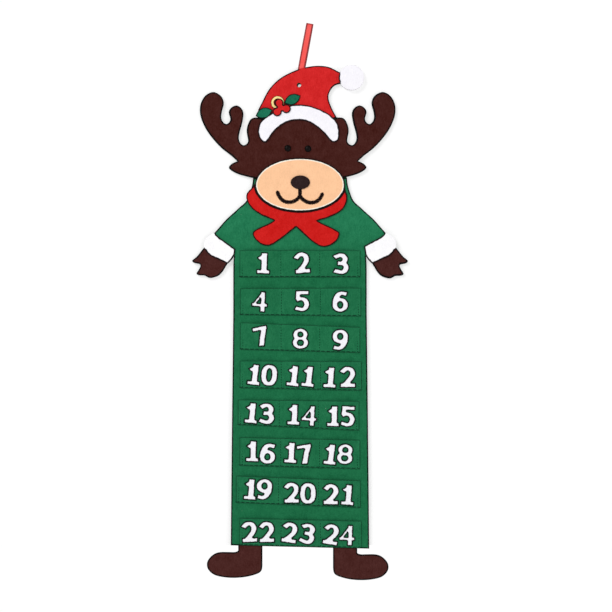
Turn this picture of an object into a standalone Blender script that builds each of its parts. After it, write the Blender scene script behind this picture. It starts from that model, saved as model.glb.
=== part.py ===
"""A hanging felt advent calendar in the shape of a reindeer in winter clothes.

Flat felt pieces are stacked on a back panel: the head, the hat, the shirt and the hands lie on
it, the brim, the cuffs, the scarf and the muzzle cover their joins, and eight sewn strips make
twenty-four pockets. A ribbon loop carries it all, and the legs hang from the hem.

Sizes are in metres. x runs to the viewer's right, z up, and the front faces -y. The origin is
where the hook bears, inside the top of the ribbon loop.
"""

import math

import bmesh
import bpy
from mathutils import Vector
from mathutils.geometry import delaunay_2d_cdt

# Felt, clearances and layers
FELT = 0.002  # body, head, hat and back panel
GAP = 0.0003  # between pieces that touch
TUCK = 0.0008  # a leg top or ribbon end pressed flat between two layers
WELD = 0.000001  # points closer than this are one point
OVERRUN = 0.001  # how far a cutter runs past what it cuts
CORNER = True  # marks an outline point where the curve has a corner
CURVE_STEPS = 2  # chords drawn between two points of a smooth outline

# Ribbon loop
RIBBON_RISE = 0.0805  # from the fold at the hat up to the hook
RIBBON_W = 0.0132
RIBBON_T = 0.0005
RIBBON_LEAN = math.radians(10.7)
RIBBON_GAPE = 0.010  # across the inside of the loop
RIBBON_STEM = 0.009  # the two legs lie together this far above the fold
RIBBON_TUCK = 0.013  # how far the ends run down behind the hat
RIBBON_SIDE = 0.0033  # the fold is this far right of the body's middle
LOOP_POINTS = 32
TAPER_POWER = 1.2
TAPER_PEAK_SHARE = 0.73  # the widest place of the taper curve, as a share of its factor

# Hat, brim and pompom
HAT_W = 0.148
HAT_H = 0.100
CROWN_SHARE = 0.982  # of HAT_H, where the ribbon leaves the hat
NAIL_HOLE_R = 0.0042
NAIL_HOLE_SHARE = (-0.0125, 0.654)
HOLE_POINTS = 20
POMPOM_R = 0.0233
POMPOM_T = 0.0034
POMPOM_SHARE = (0.6425, 0.787)
POMPOM_POINTS = 32
HAT_SHARES = [
    (-0.524, 0.189, CORNER), (-0.467, 0.352), (-0.394, 0.556), (-0.287, 0.731),
    (-0.163, 0.852), (-0.019, 0.944), (0.100, 0.989), (0.233, 1.009), (0.366, 0.983),
    (0.484, 0.896), (0.588, 0.824), (0.625, 0.741), (0.575, 0.667), (0.509, 0.676),
    (0.425, 0.637), (0.366, 0.513), (0.358, 0.389), (0.400, 0.215), (0.456, 0.059, CORNER),
    (0.375, 0.009), (0.263, 0.028), (0.125, 0.120), (-0.019, 0.167), (-0.150, 0.139),
    (-0.300, 0.028), (-0.444, -0.019),
]  # fmt: skip
BRIM_SHARES = [
    (-0.525, -0.204), (-0.512, -0.093), (-0.471, 0.004), (-0.338, 0.141), (-0.138, 0.265),
    (0.031, 0.285), (0.199, 0.228), (0.366, 0.104), (0.466, -0.056), (0.491, -0.231),
    (0.479, -0.361), (0.425, -0.407), (0.381, -0.380), (0.325, -0.287), (0.274, -0.204),
    (0.181, -0.093), (0.081, -0.019), (-0.019, 0.000), (-0.127, -0.019), (-0.220, -0.083),
    (-0.304, -0.181), (-0.370, -0.306), (-0.421, -0.409), (-0.471, -0.393), (-0.512, -0.306),
]  # fmt: skip

# Holly sprig, placed by shares of the hat
LEAF_L = 0.0335
LEAF_W = 0.0195
LEAF_T = 0.0012
LEFT_LEAF_SHARE = (-0.448, 0.131)
LEFT_LEAF_TURN = math.radians(20)
RIGHT_LEAF_SHARE = (-0.094, 0.383)
RIGHT_LEAF_TURN = math.radians(25)
LEAF_SHARES = [(-0.5, 0, CORNER), (-0.28, 0.36), (0, 0.5), (0.28, 0.36), (0.5, 0, CORNER)]
RING_R = 0.0124
RING_BAND = 0.0057
RING_T = 0.0012
RING_SHARE = (-0.279, 0.326)
RING_POINTS = 24
BERRY_R = 0.0083
BERRY_T = 0.0016
BERRY_POINTS = 14
BERRY_WEB = 0.0022  # the felt between the berries, which are cut in one piece
BERRY_SHARES = [(-0.261, 0.312), (-0.284, 0.152), (-0.171, 0.209)]

# Head with antlers and ears, as shares of the antlers' span and the face's height
ANTLER_SPAN = 0.361
FACE_H = 0.1065  # from the neck line to the foot of the hat
HEAD_SIDE = -0.0039  # the head's middle from the body's middle
HEAD_HALF_SHARES = [
    (0.231, 0.000, CORNER), (0.274, 0.035), (0.310, 0.075), (0.342, 0.136), (0.351, 0.188),
    (0.334, 0.250), (0.308, 0.289, CORNER), (0.341, 0.391), (0.387, 0.513), (0.431, 0.670),
    (0.468, 0.843), (0.492, 1.019), (0.500, 1.162), (0.495, 1.297), (0.472, 1.428),
    (0.432, 1.489), (0.393, 1.416), (0.380, 1.296), (0.388, 1.176), (0.393, 1.056),
    (0.384, 0.970), (0.366, 0.932), (0.349, 0.970), (0.344, 1.035), (0.352, 1.139),
    (0.339, 1.221), (0.313, 1.256), (0.288, 1.200), (0.279, 1.103), (0.287, 0.937),
    (0.298, 0.803), (0.303, 0.690), (0.295, 0.605), (0.278, 0.563), (0.258, 0.598),
    (0.253, 0.661), (0.260, 0.795), (0.256, 0.906), (0.239, 1.019), (0.213, 1.047),
    (0.185, 1.009), (0.144, 1.043), (0.072, 1.122),
]  # fmt: skip
EYE_R = 0.0061
EYE_H = 0.0034
EYE_SHARES = {"left": (-0.052, 0.515), "right": (0.052, 0.506)}
MUZZLE_W = 0.1658
MUZZLE_H = 0.0977
MUZZLE_T = 0.0028
MUZZLE_SIDE = 0.0039  # the muzzle's middle from the head's middle
MUZZLE_SHARE = -0.127  # its middle above the neck line, of FACE_H
MUZZLE_POINTS = 56
NOSE_W = 0.0355
NOSE_H = 0.0255
NOSE_T = 0.0045
NOSE_SHARE = (0.004, 0.051)
MOUTH_LINE = 0.0052
MOUTH_T = 0.0008
MOUTH_SHARES = [
    [(0.000, -0.080), (0.000, -0.200)],
    [(0.000, -0.200), (-0.046, -0.285), (-0.123, -0.326), (-0.205, -0.270), (-0.253, -0.119)],
    [(0.000, -0.200), (0.048, -0.290), (0.125, -0.333), (0.208, -0.282), (0.252, -0.152)],
]  # fmt: skip

# Scarf
SCARF_W = 0.1855
SCARF_H = 0.1093
SCARF_SIDE = -0.0056
SCARF_DROP = 0.0176  # its collar's top below the neck line
SCARF_SHARES = [
    (-0.350, 0.119), (-0.448, -0.007), (-0.501, -0.112), (-0.497, -0.227), (-0.455, -0.344),
    (-0.363, -0.461), (-0.264, -0.532), (-0.226, -0.559, CORNER), (-0.279, -0.610),
    (-0.356, -0.669), (-0.425, -0.734), (-0.440, -0.798), (-0.409, -0.890), (-0.348, -0.968),
    (-0.279, -0.986), (-0.226, -0.947), (-0.142, -0.851), (-0.065, -0.746),
    (-0.008, -0.669, CORNER), (0.065, -0.785), (0.142, -0.902), (0.218, -0.986),
    (0.279, -1.005), (0.348, -0.968), (0.402, -0.890), (0.425, -0.785), (0.409, -0.741),
    (0.333, -0.669), (0.264, -0.617), (0.203, -0.564, CORNER), (0.295, -0.520),
    (0.394, -0.449), (0.463, -0.358), (0.497, -0.241), (0.501, -0.163), (0.490, -0.085),
    (0.410, 0.085), (0.030, 0.017),
]  # fmt: skip

# Shirt, sleeves, cuffs and hands
SHIRT_W = 0.256
SLEEVE_SPAN = 0.316
SLEEVE_DROP = 0.1304  # from the neck line to the armpit
HAND_W = 0.0648
HAND_H = 0.0555
HEM_MARGIN = 0.0012  # below the last strip
HEM_SLANT = 0.0062  # the hem falls this much from left to right
NECK_OVERLAP = 0.020  # the back panel runs on across the neck line
SHOULDER_SHARES = [
    (0.275, 0.000, CORNER), (0.281, -0.113), (0.310, -0.312), (0.351, -0.411),
    (0.386, -0.489), (0.431, -0.589), (0.467, -0.687), (0.500, -0.779, CORNER),
    (0.518, -0.887, CORNER), (0.402, -1.084, CORNER), (0.376, -1.000, CORNER),
]  # fmt: skip
SIDE_SHARES = [(0.480, 0.225), (0.482, 0.360), (0.485, 0.465), (0.493, 0.735)]
CUFF_SHARES = [
    (0.500, -0.779, CORNER), (0.539, -0.830), (0.561, -0.908), (0.560, -1.000, CORNER),
    (0.542, -1.064), (0.517, -1.113), (0.480, -1.153), (0.424, -1.217, CORNER),
    (0.401, -1.163), (0.382, -1.087), (0.379, -1.007, CORNER), (0.433, -0.911),
    (0.468, -0.851),
]  # fmt: skip
WRIST_SHARE = (0.480, -0.993)
HAND_SHARES = [
    (-0.057, 0.133, CORNER), (0.229, 0.167, CORNER), (0.397, 0.007), (0.500, -0.140),
    (0.614, -0.300), (0.740, -0.423), (0.666, -0.503), (0.534, -0.533), (0.500, -0.600),
    (0.557, -0.740), (0.617, -0.863), (0.520, -0.910), (0.380, -0.920), (0.249, -0.997),
    (0.094, -0.973), (-0.043, -0.897), (-0.154, -0.750), (-0.220, -0.613),
    (-0.269, -0.517), (-0.286, -0.267, CORNER),
]  # fmt: skip
PANEL_SLIP = 0.0009  # the back panel shows this much beside one antler and one hand
GUSSET = 0.0035  # half the square of felt under each armpit

# Pocket strips
STRIPS = 8
FIRST_DROP = 0.1343  # from the neck line to the first strip's top
STRIP_PITCH = 0.071
STRIP_W = 0.223
STRIP_H = 0.050
STRIP_T = 0.0015
POCKET_GAPE = 0.0049  # how far a pocket's wall stands off the shirt
SEAM_LAND = 0.0028  # flat felt along a seam
SIDE_RISE = 0.0052  # the wall rises to its full gape within this, beside a seam
HEM_LAND = 0.0010
HEM_RISE = 0.0022
RISE_STEP_SHARES = [(0, 0), (0.5, 0.62), (1, 1)]  # across the rise, of the gape
SEAM_SHARES = [0, 0.340, 0.664, 1]
# Each strip was cut and sewn by hand. Left and right edge, of STRIP_W, then the top's left and
# right end and the height at left and right, of STRIP_H
STRIP_SHARES = [
    (0.002, -0.001, 0.00, 0.00, 0.99, 0.98),
    (0.007, 0.004, 0.01, 0.03, 0.97, 1.04),
    (0.007, -0.004, 0.17, 0.00, 0.99, 0.94),
    (0.004, 0.008, 0.18, 0.15, 1.00, 1.07),
    (-0.012, -0.012, 0.16, 0.11, 0.92, 1.09),
    (0.002, -0.004, 0.19, 0.09, 1.04, 1.07),
    (-0.027, 0.000, 0.19, 0.01, 0.99, 1.00),
    (0.000, 0.008, 0.05, -0.06, 1.02, 1.02),
]

# Digits: the figure, its place across the strip and up its flat front as shares, and its tilt
DIGIT_WIDE_SHARE = 0.1354  # of the strip's width, so that two figures fit on a pocket
DIGIT_HIGH_SHARE = 1.291  # this and the next two of a figure's width
UPRIGHT_STROKE_SHARE = 0.364
LEVEL_STROKE_SHARE = 0.265
DIGIT_W = DIGIT_WIDE_SHARE * STRIP_W
DIGIT_H = DIGIT_HIGH_SHARE * DIGIT_W
UPRIGHT_STROKE = UPRIGHT_STROKE_SHARE * DIGIT_W
LEVEL_STROKE = LEVEL_STROKE_SHARE * DIGIT_W
DIGIT_T = 0.0014
ROUND_POINTS = 20
DIGIT_PLACE_SHARES = [
    [("1", 0.192, 0.40, 2), ("2", 0.516, 0.55, -5), ("3", 0.840, 0.27, 0)],
    [("4", 0.159, 0.33, 3), ("5", 0.509, 0.52, 0), ("6", 0.828, 0.44, 0)],
    [("7", 0.176, 0.33, -13), ("8", 0.502, 0.06, 0), ("9", 0.835, 0.06, 0)],
    [("1", 0.113, 0.32, 7), ("0", 0.240, 0.27, 5), ("1", 0.437, 0.20, 7),
     ("1", 0.560, 0.14, 7), ("1", 0.738, 0.06, 4), ("2", 0.888, 0.21, 0)],
    [("1", 0.106, 0.09, 6), ("3", 0.237, 0.06, 5), ("1", 0.456, 0.14, 3),
     ("4", 0.587, 0.06, 3), ("1", 0.785, 0.19, 1.5), ("5", 0.905, 0.27, 3)],
    [("1", 0.101, 0.48, 2), ("6", 0.232, 0.15, 5), ("1", 0.420, 0.39, 3.5),
     ("7", 0.544, 0.13, -9), ("1", 0.751, 0.29, 6.5), ("8", 0.876, 0.41, 5)],
    [("1", 0.110, 0.46, 4.5), ("9", 0.226, 0.63, 3), ("2", 0.446, 0.06, 0),
     ("0", 0.577, 0.06, 0), ("2", 0.763, 0.06, 2), ("1", 0.895, 0.06, 4.5)],
    [("2", 0.081, 0.33, -3), ("2", 0.223, 0.42, -1), ("2", 0.412, 0.43, 8),
     ("3", 0.558, 0.20, 12), ("2", 0.751, 0.22, 9), ("4", 0.881, 0.06, 2)],
]  # fmt: skip
# Each figure's strokes: how bold they are, and their middle lines as shares of half the box
STROKE_SHARES = {
    "0": [(1, [(0.12, 1), (0.42, 0.97), (0.75, 0.76), (0.96, 0.38), (1, 0), (0.96, -0.38),
               (0.75, -0.76), (0.42, -0.97), (0.12, -1)]),
          (1, [(-0.12, 1), (-0.42, 0.97), (-0.75, 0.76), (-0.96, 0.38), (-1, 0),
               (-0.96, -0.38), (-0.75, -0.76), (-0.42, -0.97), (-0.12, -1)])],
    "1": [(0.66, [(-0.56, 0.62), (0.10, 0.90)]), (1, [(0.25, 0.98), (0.25, -0.88)]),
          (0.85, [(-0.64, -1), (0.82, -1)])],
    "2": [(0.95, [(-0.86, 0.72), (-0.45, 0.95), (0.08, 1), (0.64, 0.84), (0.92, 0.46),
                  (0.74, 0.04), (0.20, -0.42), (-0.50, -0.86)]),
          (0.95, [(-0.88, -1), (0.92, -1)])],
    "3": [(0.95, [(-0.84, 0.86), (-0.35, 1), (0.28, 0.98), (0.74, 0.70), (0.70, 0.34),
                  (0.28, 0.06), (-0.12, 0.06)]),
          (0.95, [(-0.12, 0.06), (0.30, 0.06), (0.84, -0.20), (0.96, -0.52), (0.62, -0.90),
                  (0, -1), (-0.84, -0.88)])],
    "4": [(0.50, [(0.42, 0.92), (-0.98, -0.30)]), (0.70, [(-1.05, -0.40), (1.10, -0.40)]),
          (0.77, [(0.62, 1), (0.62, -1)])],
    "5": [(0.90, [(-0.60, 1), (0.84, 1)]), (0.76, [(-0.72, 0.88), (-0.75, 0.43)]),
          (0.90, [(-0.62, 0.20), (-0.10, 0.28), (0.60, 0.12), (0.96, -0.36), (0.64, -0.84),
                  (-0.02, -1), (-0.78, -0.90)])],
    "6": [(0.95, [(0.76, 0.95), (0.20, 0.98), (-0.42, 0.76), (-0.88, 0.24), (-0.97, -0.14)])],
    "7": [(0.85, [(-0.92, 1), (0.92, 1)]), (0.96, [(0.74, 0.80), (0.25, 0.05), (-0.26, -0.86)])],
    "9": [(0.95, [(-0.76, -0.95), (-0.20, -0.98), (0.42, -0.76), (0.88, -0.24), (0.97, 0.14)])],
}  # fmt: skip
# Its rings: how bold, the middle and the half width and height, as shares of the same half box
RING_SHARES = {
    "6": [(0.95, 0, -0.40, 1, 0.60)],
    "8": [(0.86, 0, 0.50, 0.94, 0.50), (0.86, 0, -0.47, 1.04, 0.53)],
    "9": [(0.95, 0, 0.40, 1, 0.60)],
}

# Legs
LEG_SPREAD = 0.0877  # from the body's middle to a leg's
LEG_SIDE = -0.0042
LEG_W = 0.0448
FOOT_W = 0.1027
FOOT_H = 0.0585
LEG_TUCK = 0.020  # how far a leg runs up behind the shirt
TOP_ROUND_SHARE = 0.45  # of the felt, at the top edge that the leg folds on
TOP_ROUND_STEPS = 3
FOOT_SHARES = [
    (0.436, -0.139, CORNER), (0.499, -0.187), (0.751, -0.187), (0.879, -0.259),
    (0.973, -0.424), (1.000, -0.579), (0.973, -0.741), (0.879, -0.892), (0.733, -0.968),
    (0.535, -1.000), (0.314, -0.975), (0.135, -0.899), (0.036, -0.813), (0.005, -0.693),
    (0.000, -0.506),
]  # fmt: skip

# Stations worked out from the sizes above
PANEL_FRONT = TUCK / 2 + GAP
PANEL_BACK = PANEL_FRONT + FELT
BASE_BACK = TUCK / 2  # the layer of shirt, head, hat and hands
BASE_FRONT = BASE_BACK - FELT
COVER_BACK = BASE_FRONT - GAP  # the layer of brim, cuffs, scarf and muzzle
COVER_FRONT = COVER_BACK - FELT
TRIM_BACK = COVER_FRONT - GAP
FOLD_X = -RIBBON_RISE * math.tan(RIBBON_LEAN)
FOLD_Z = -RIBBON_RISE
SLOT_Z = FOLD_Z - RIBBON_T - GAP  # hat and panel are cut level under the ribbon
BODY_X = FOLD_X - RIBBON_SIDE
HEAD_X = BODY_X + HEAD_SIDE
HAT_Z = SLOT_Z - CROWN_SHARE * HAT_H
NECK_Z = HAT_Z - FACE_H
SHIRT_H = FIRST_DROP + (STRIPS - 1) * STRIP_PITCH + STRIP_H + HEM_MARGIN


def cloth(name, colour, roughness=0.92):
    material = bpy.data.materials.new(name)
    material.use_nodes = True
    shader = material.node_tree.nodes["Principled BSDF"]
    shader.inputs["Base Color"].default_value = (*colour, 1)
    shader.inputs["Roughness"].default_value = roughness
    shader.inputs["Metallic"].default_value = 0
    return material


# Outlines in the plane of the felt, as lists of (x, z)


def placed(shares, width, height, x=0.0, z=0.0, side=1):
    """Shares of a width and a height as points round a place, mirrored where side is -1."""
    points = [(x + side * p[0] * width, z + p[1] * height, *p[2:]) for p in shares]
    return points[::side]


def smooth(points, closed=True, steps=CURVE_STEPS):
    """Points along a curve through the given points, with the corners kept sharp."""
    count = len(points)
    spans = count if closed else count - 1
    curve = []
    for i in range(spans):
        start, end = Vector(points[i][:2]), Vector(points[(i + 1) % count][:2])
        before = Vector(points[i - 1][:2])
        after = Vector(points[(i + 2) % count][:2])
        if len(points[i]) > 2 or (not closed and i == 0):
            before = start - (end - start)
        if len(points[(i + 1) % count]) > 2 or (not closed and i == spans - 1):
            after = end + (end - start)
        both_corners = len(points[i]) > 2 and len(points[(i + 1) % count]) > 2
        for step in range(1 if both_corners else steps):
            t = step / steps
            leave, arrive = (end - before) / 2, (after - start) / 2
            curve.append(
                (2 * t**3 - 3 * t**2 + 1) * start
                + (t**3 - 2 * t**2 + t) * leave
                + (3 * t**2 - 2 * t**3) * end
                + (t**3 - t**2) * arrive
            )
    if not closed:
        curve.append(Vector(points[-1][:2]))
    return [(p.x, p.y) for p in curve]


def oval(x, z, half_width, half_height, count):
    angles = [2 * math.pi * i / count for i in range(count)]
    return [(x + half_width * math.cos(a), z + half_height * math.sin(a)) for a in angles]


def turned(points, angle, x=0.0, z=0.0):
    """Points turned about the origin by an angle, then moved to a place."""
    c, s = math.cos(angle), math.sin(angle)
    return [(x + c * p[0] - s * p[1], z + s * p[0] + c * p[1]) for p in points]


def grown(outline, margin):
    """A closed outline moved outwards by a margin."""
    area = sum(a[0] * b[1] - b[0] * a[1] for a, b in zip(outline, outline[1:] + outline[:1]))
    out = math.copysign(margin, area)
    moved = []
    for i, point in enumerate(outline):
        before = (Vector(point) - Vector(outline[i - 1])).normalized()
        after = (Vector(outline[(i + 1) % len(outline)]) - Vector(point)).normalized()
        normal = Vector((before.y + after.y, -before.x - after.x))
        reach = max(normal.length_squared / 2, 0.5)
        moved.append((point[0] + normal.x * out / reach, point[1] + normal.y * out / reach))
    return moved


def box(left, right, bottom, top):
    return [(left, bottom), (right, bottom), (right, top), (left, top)]


def stroke(line, width, closed=False):
    """The cells of a band of one width along a line, with square ends."""
    points = [Vector(p) for p in line]
    if not closed:
        points[0] += (points[0] - points[1]).normalized() * width / 2
        points[-1] += (points[-1] - points[-2]).normalized() * width / 2
    count = len(points)
    sides = []
    for i, point in enumerate(points):
        before = point - points[i - 1] if closed or i > 0 else points[1] - points[0]
        after = points[(i + 1) % count] - point if closed or i < count - 1 else before
        along = (before.normalized() + after.normalized()).normalized()
        half = width / 2 / max(along.dot(before.normalized()), 0.5)
        across = Vector((-along.y, along.x)) * half
        sides.append((tuple(point + across), tuple(point - across)))
    pairs = zip(sides, sides[1:] + sides[:1]) if closed else zip(sides, sides[1:])
    return [[a[0], a[1], b[1], b[0]] for a, b in pairs]


def holds(polygon, x, z):
    """Whether a point lies inside a polygon."""
    inside = False
    for (ax, az), (bx, bz) in zip(polygon, polygon[1:] + polygon[:1]):
        if (az > z) != (bz > z) and x < ax + (z - az) / (bz - az) * (bx - ax):
            inside = not inside
    return inside


def filled(cells, cuts=()):
    """The union of the cells less the cuts, as points and counter-clockwise triangles."""

    def kept(points, edges):
        found = delaunay_2d_cdt(points, edges, [], 0, WELD)
        triangles = []
        for a, b, c in found[2]:
            middle = (found[0][a] + found[0][b] + found[0][c]) / 3
            if any(holds(p, *middle) for p in cuts) or not any(holds(p, *middle) for p in cells):
                continue
            triangles.append((a, b, c))
        return found[0], triangles

    points, edges = [], []
    for polygon in [*cells, *cuts]:
        first, count = len(points), len(polygon)
        points += [Vector(p) for p in polygon]
        edges += [(first + i, first + (i + 1) % count) for i in range(count)]
    points, triangles = kept(points, edges)
    rim = rim_of(triangles)
    # A second pass on the rim alone drops the lines where cells overlap
    used = sorted({v for edge in rim for v in edge})
    place = {v: i for i, v in enumerate(used)}
    return kept([points[v] for v in used], [(place[a], place[b]) for a, b in rim])


def rim_of(triangles):
    """The directed edges that only one triangle has."""
    edges = [edge for a, b, c in triangles for edge in ((a, b), (b, c), (c, a))]
    known = set(edges)
    return [(a, b) for a, b in edges if (b, a) not in known]


# Solids


def add(name, mesh, material):
    mesh.materials.append(material)
    piece = bpy.data.objects.new(name, mesh)
    bpy.context.scene.collection.objects.link(piece)
    return piece


def solid(name, shape, material, front_of, back_of):
    """A closed solid between two places of each point of a flat shape."""
    points, triangles = shape
    mesh = bmesh.new()
    front = [mesh.verts.new(front_of(p.x, p.y)) for p in points]
    back = [mesh.verts.new(back_of(p.x, p.y)) for p in points]
    for a, b, c in triangles:
        mesh.faces.new((front[a], front[b], front[c]))
        mesh.faces.new((back[c], back[b], back[a]))
    for a, b in rim_of(triangles):
        mesh.faces.new((front[b], front[a], back[a], back[b]))
    bmesh.ops.recalc_face_normals(mesh, faces=mesh.faces)
    data = bpy.data.meshes.new(name)
    mesh.to_mesh(data)
    mesh.free()
    return add(name, data, material)


def felt(name, cells, material, back, thickness=FELT, cuts=()):
    """A flat piece of felt, with its wall side at y = back."""
    return solid(
        name,
        filled(cells, cuts),
        material,
        lambda x, z: (x, back - thickness, z),
        lambda x, z: (x, back, z),
    )


def dome(name, half_width, half_height, rise, x, z, back, material, sides=16, rings=4):
    """A low dome with an oval foot, standing out to the front."""
    mesh = bmesh.new()
    tip = mesh.verts.new((x, back - rise, z))
    rows = []
    for ring in range(1, rings + 1):
        reach = math.sin(math.pi / 2 * ring / rings)
        depth = back - rise * math.cos(math.pi / 2 * ring / rings)
        edge = oval(x, z, half_width * reach, half_height * reach, sides)
        rows.append([mesh.verts.new((px, depth, pz)) for px, pz in edge])
    for i in range(sides):
        j = (i + 1) % sides
        mesh.faces.new((tip, rows[0][i], rows[0][j]))
        for inner, outer in zip(rows, rows[1:]):
            mesh.faces.new((inner[i], outer[i], outer[j], inner[j]))
    mesh.faces.new(rows[-1])
    bmesh.ops.recalc_face_normals(mesh, faces=mesh.faces)
    data = bpy.data.meshes.new(name)
    mesh.to_mesh(data)
    mesh.free()
    data.shade_smooth()
    return add(name, data, material)


def recess(piece, left, right, bottom, top):
    """Presses a shallow seat into the wall side of a base piece for what is tucked behind it."""
    name = piece.name + "_seat_cutter"
    mesh = bmesh.new()
    bmesh.ops.create_cube(mesh, size=1)
    floor, mouth = -TUCK / 2 - GAP, BASE_BACK + OVERRUN
    for vert in mesh.verts:
        vert.co.x = left if vert.co.x < 0 else right
        vert.co.y = floor if vert.co.y < 0 else mouth
        vert.co.z = bottom if vert.co.z < 0 else top
    data = bpy.data.meshes.new(name)
    mesh.to_mesh(data)
    mesh.free()
    cutter = bpy.data.objects.new(name, data)
    bpy.context.scene.collection.objects.link(cutter)
    join(piece, cutter, "DIFFERENCE")


def join(piece, other, operation):
    other.hide_render = True
    other.display_type = "WIRE"
    boolean = piece.modifiers.new(other.name, "BOOLEAN")
    boolean.operation = operation
    boolean.object = other


# Ribbon


def taper(half_width, bottom, top):
    """A closed loop that rises from a point to a round top, as (y, z)."""
    points = []
    for i in range(LOOP_POINTS):
        angle = 2 * math.pi * i / LOOP_POINTS
        pinch = math.sin(angle / 2) ** TAPER_POWER
        reach = half_width * math.sin(angle) * pinch / TAPER_PEAK_SHARE
        points.append((reach, bottom + (top - bottom) * (1 - math.cos(angle)) / 2))
    return points


def ribbon_loop(material):
    """The loop is drawn from its side, in (y, z), and leans to the right as it rises."""
    stem_top = FOLD_Z + RIBBON_STEM
    outer = taper(RIBBON_GAPE / 2 + RIBBON_T, FOLD_Z, RIBBON_T)
    inner = taper(RIBBON_GAPE / 2, stem_top - RIBBON_T, 0)
    stem = box(-RIBBON_T, RIBBON_T, FOLD_Z - RIBBON_T, stem_top)
    lean = math.tan(RIBBON_LEAN)
    return solid(
        "ribbon_loop",
        filled([outer, stem], [inner]),
        material,
        lambda y, z: (z * lean - RIBBON_W / 2, y, z),
        lambda y, z: (z * lean + RIBBON_W / 2, y, z),
    )


def ribbon_ends(material):
    left, right = FOLD_X - RIBBON_W / 2, FOLD_X + RIBBON_W / 2
    return felt(
        "ribbon_ends",
        [box(left, right, SLOT_Z - RIBBON_TUCK, SLOT_Z)],
        material,
        TUCK / 2,
        TUCK,
    )


# Outlines of the larger pieces, which others are cut to


def hat_point(share):
    return BODY_X + share[0] * HAT_W, HAT_Z + share[1] * HAT_H


def head_point(share):
    return HEAD_X + share[0] * ANTLER_SPAN, NECK_Z + share[1] * FACE_H


def sleeve_points(shares, side):
    return smooth(placed(shares, SLEEVE_SPAN, SLEEVE_DROP, BODY_X, NECK_Z, side))


def head_outline():
    right = placed(HEAD_HALF_SHARES, ANTLER_SPAN, FACE_H, HEAD_X, NECK_Z + GAP)
    left = placed(HEAD_HALF_SHARES, ANTLER_SPAN, FACE_H, HEAD_X, NECK_Z + GAP, -1)
    return smooth(right + left)


def hem_z(x):
    return NECK_Z - SHIRT_H - HEM_SLANT * (x - BODY_X) / SHIRT_W


def shirt_outline():
    halves = []
    for side in (1, -1):
        shoulder = placed(SHOULDER_SHARES, SLEEVE_SPAN, SLEEVE_DROP, BODY_X, NECK_Z)
        flank = [(BODY_X + x * SHIRT_W, NECK_Z - z * SHIRT_H) for x, z in SIDE_SHARES]
        hem_x = BODY_X + side * SHIRT_W / 2
        half = [(BODY_X + side * (p[0] - BODY_X), *p[1:]) for p in shoulder + flank]
        half.append((hem_x, hem_z(hem_x), CORNER))
        halves.append(half)
    return smooth(halves[0] + halves[1][::-1])


def hand_outline(side):
    wrist_x = BODY_X + side * WRIST_SHARE[0] * SLEEVE_SPAN
    wrist_z = NECK_Z + WRIST_SHARE[1] * SLEEVE_DROP
    return smooth(placed(HAND_SHARES, HAND_W, HAND_H, wrist_x, wrist_z, side))


# Pocket strips


def strip_frame(row):
    """A strip's left and right edge, and its bottom and top line as end heights."""
    left, right, top_left, top_right, high_left, high_right = STRIP_SHARES[row]
    nominal = NECK_Z - FIRST_DROP - row * STRIP_PITCH
    tops = [nominal + share * STRIP_H for share in (top_left, top_right)]
    heights = [share * STRIP_H for share in (high_left, high_right)]
    bottoms = [top - height for top, height in zip(tops, heights)]
    if row == STRIPS - 1:
        bottoms = [hem_z(BODY_X + end * STRIP_W / 2) + HEM_MARGIN for end in (-1, 1)]
    edges = BODY_X - STRIP_W / 2 + left * STRIP_W, BODY_X + STRIP_W / 2 + right * STRIP_W
    return edges, bottoms, tops


def strip_columns(width):
    """Where the strip bends across its width: (distance from its left edge, share of the gape)."""
    seams = [share * width for share in SEAM_SHARES]
    columns = [(0, 0)]
    for start, end in zip(seams, seams[1:]):
        for step, gape in RISE_STEP_SHARES:
            columns.append((start + SEAM_LAND / 2 + step * SIDE_RISE, gape))
        for step, gape in reversed(RISE_STEP_SHARES):
            columns.append((end - SEAM_LAND / 2 - step * SIDE_RISE, gape))
    return [*columns, (width, 0)]


def pocket_strip(row, material):
    """One strip, flat on its seams and standing off the shirt between them, open at the top."""
    (left, right), bottoms, tops = strip_frame(row)
    width = right - left
    columns = strip_columns(width)
    rows = [(0, 0)] + [(HEM_LAND + step * HEM_RISE, gape) for step, gape in RISE_STEP_SHARES]
    mesh = bmesh.new()
    grids = []
    for depth in (0, STRIP_T):
        grid = []
        for across, gape_across in columns:
            share = across / width
            bottom = bottoms[0] + (bottoms[1] - bottoms[0]) * share
            top = tops[0] + (tops[1] - tops[0]) * share
            places = [(bottom + up, gape_up) for up, gape_up in rows] + [(top, 1)]
            line = []
            for z, gape_up in places:
                y = COVER_BACK - POCKET_GAPE * min(gape_across, gape_up) - depth
                line.append(mesh.verts.new((left + across, y, z)))
            grid.append(line)
        grids.append(grid)
    back, front = grids
    last_column, last_row = len(columns) - 1, len(rows)
    for i in range(last_column):
        for j in range(last_row):
            corners = [(i, j), (i + 1, j), (i + 1, j + 1), (i, j + 1)]
            mesh.faces.new([front[a][b] for a, b in corners])
            mesh.faces.new([back[a][b] for a, b in reversed(corners)])
    rim = [(i, 0) for i in range(last_column)]
    rim += [(last_column, j) for j in range(last_row)]
    rim += [(i, last_row) for i in range(last_column, 0, -1)]
    rim += [(0, j) for j in range(last_row, 0, -1)]
    for (a, b), (c, d) in zip(rim, rim[1:] + rim[:1]):
        mesh.faces.new((front[c][d], front[a][b], back[a][b], back[c][d]))
    bmesh.ops.recalc_face_normals(mesh, faces=mesh.faces)
    data = bpy.data.meshes.new(f"pocket_strip_{row + 1}")
    mesh.to_mesh(data)
    mesh.free()
    return add(f"pocket_strip_{row + 1}", data, material)


# Digits


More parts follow.
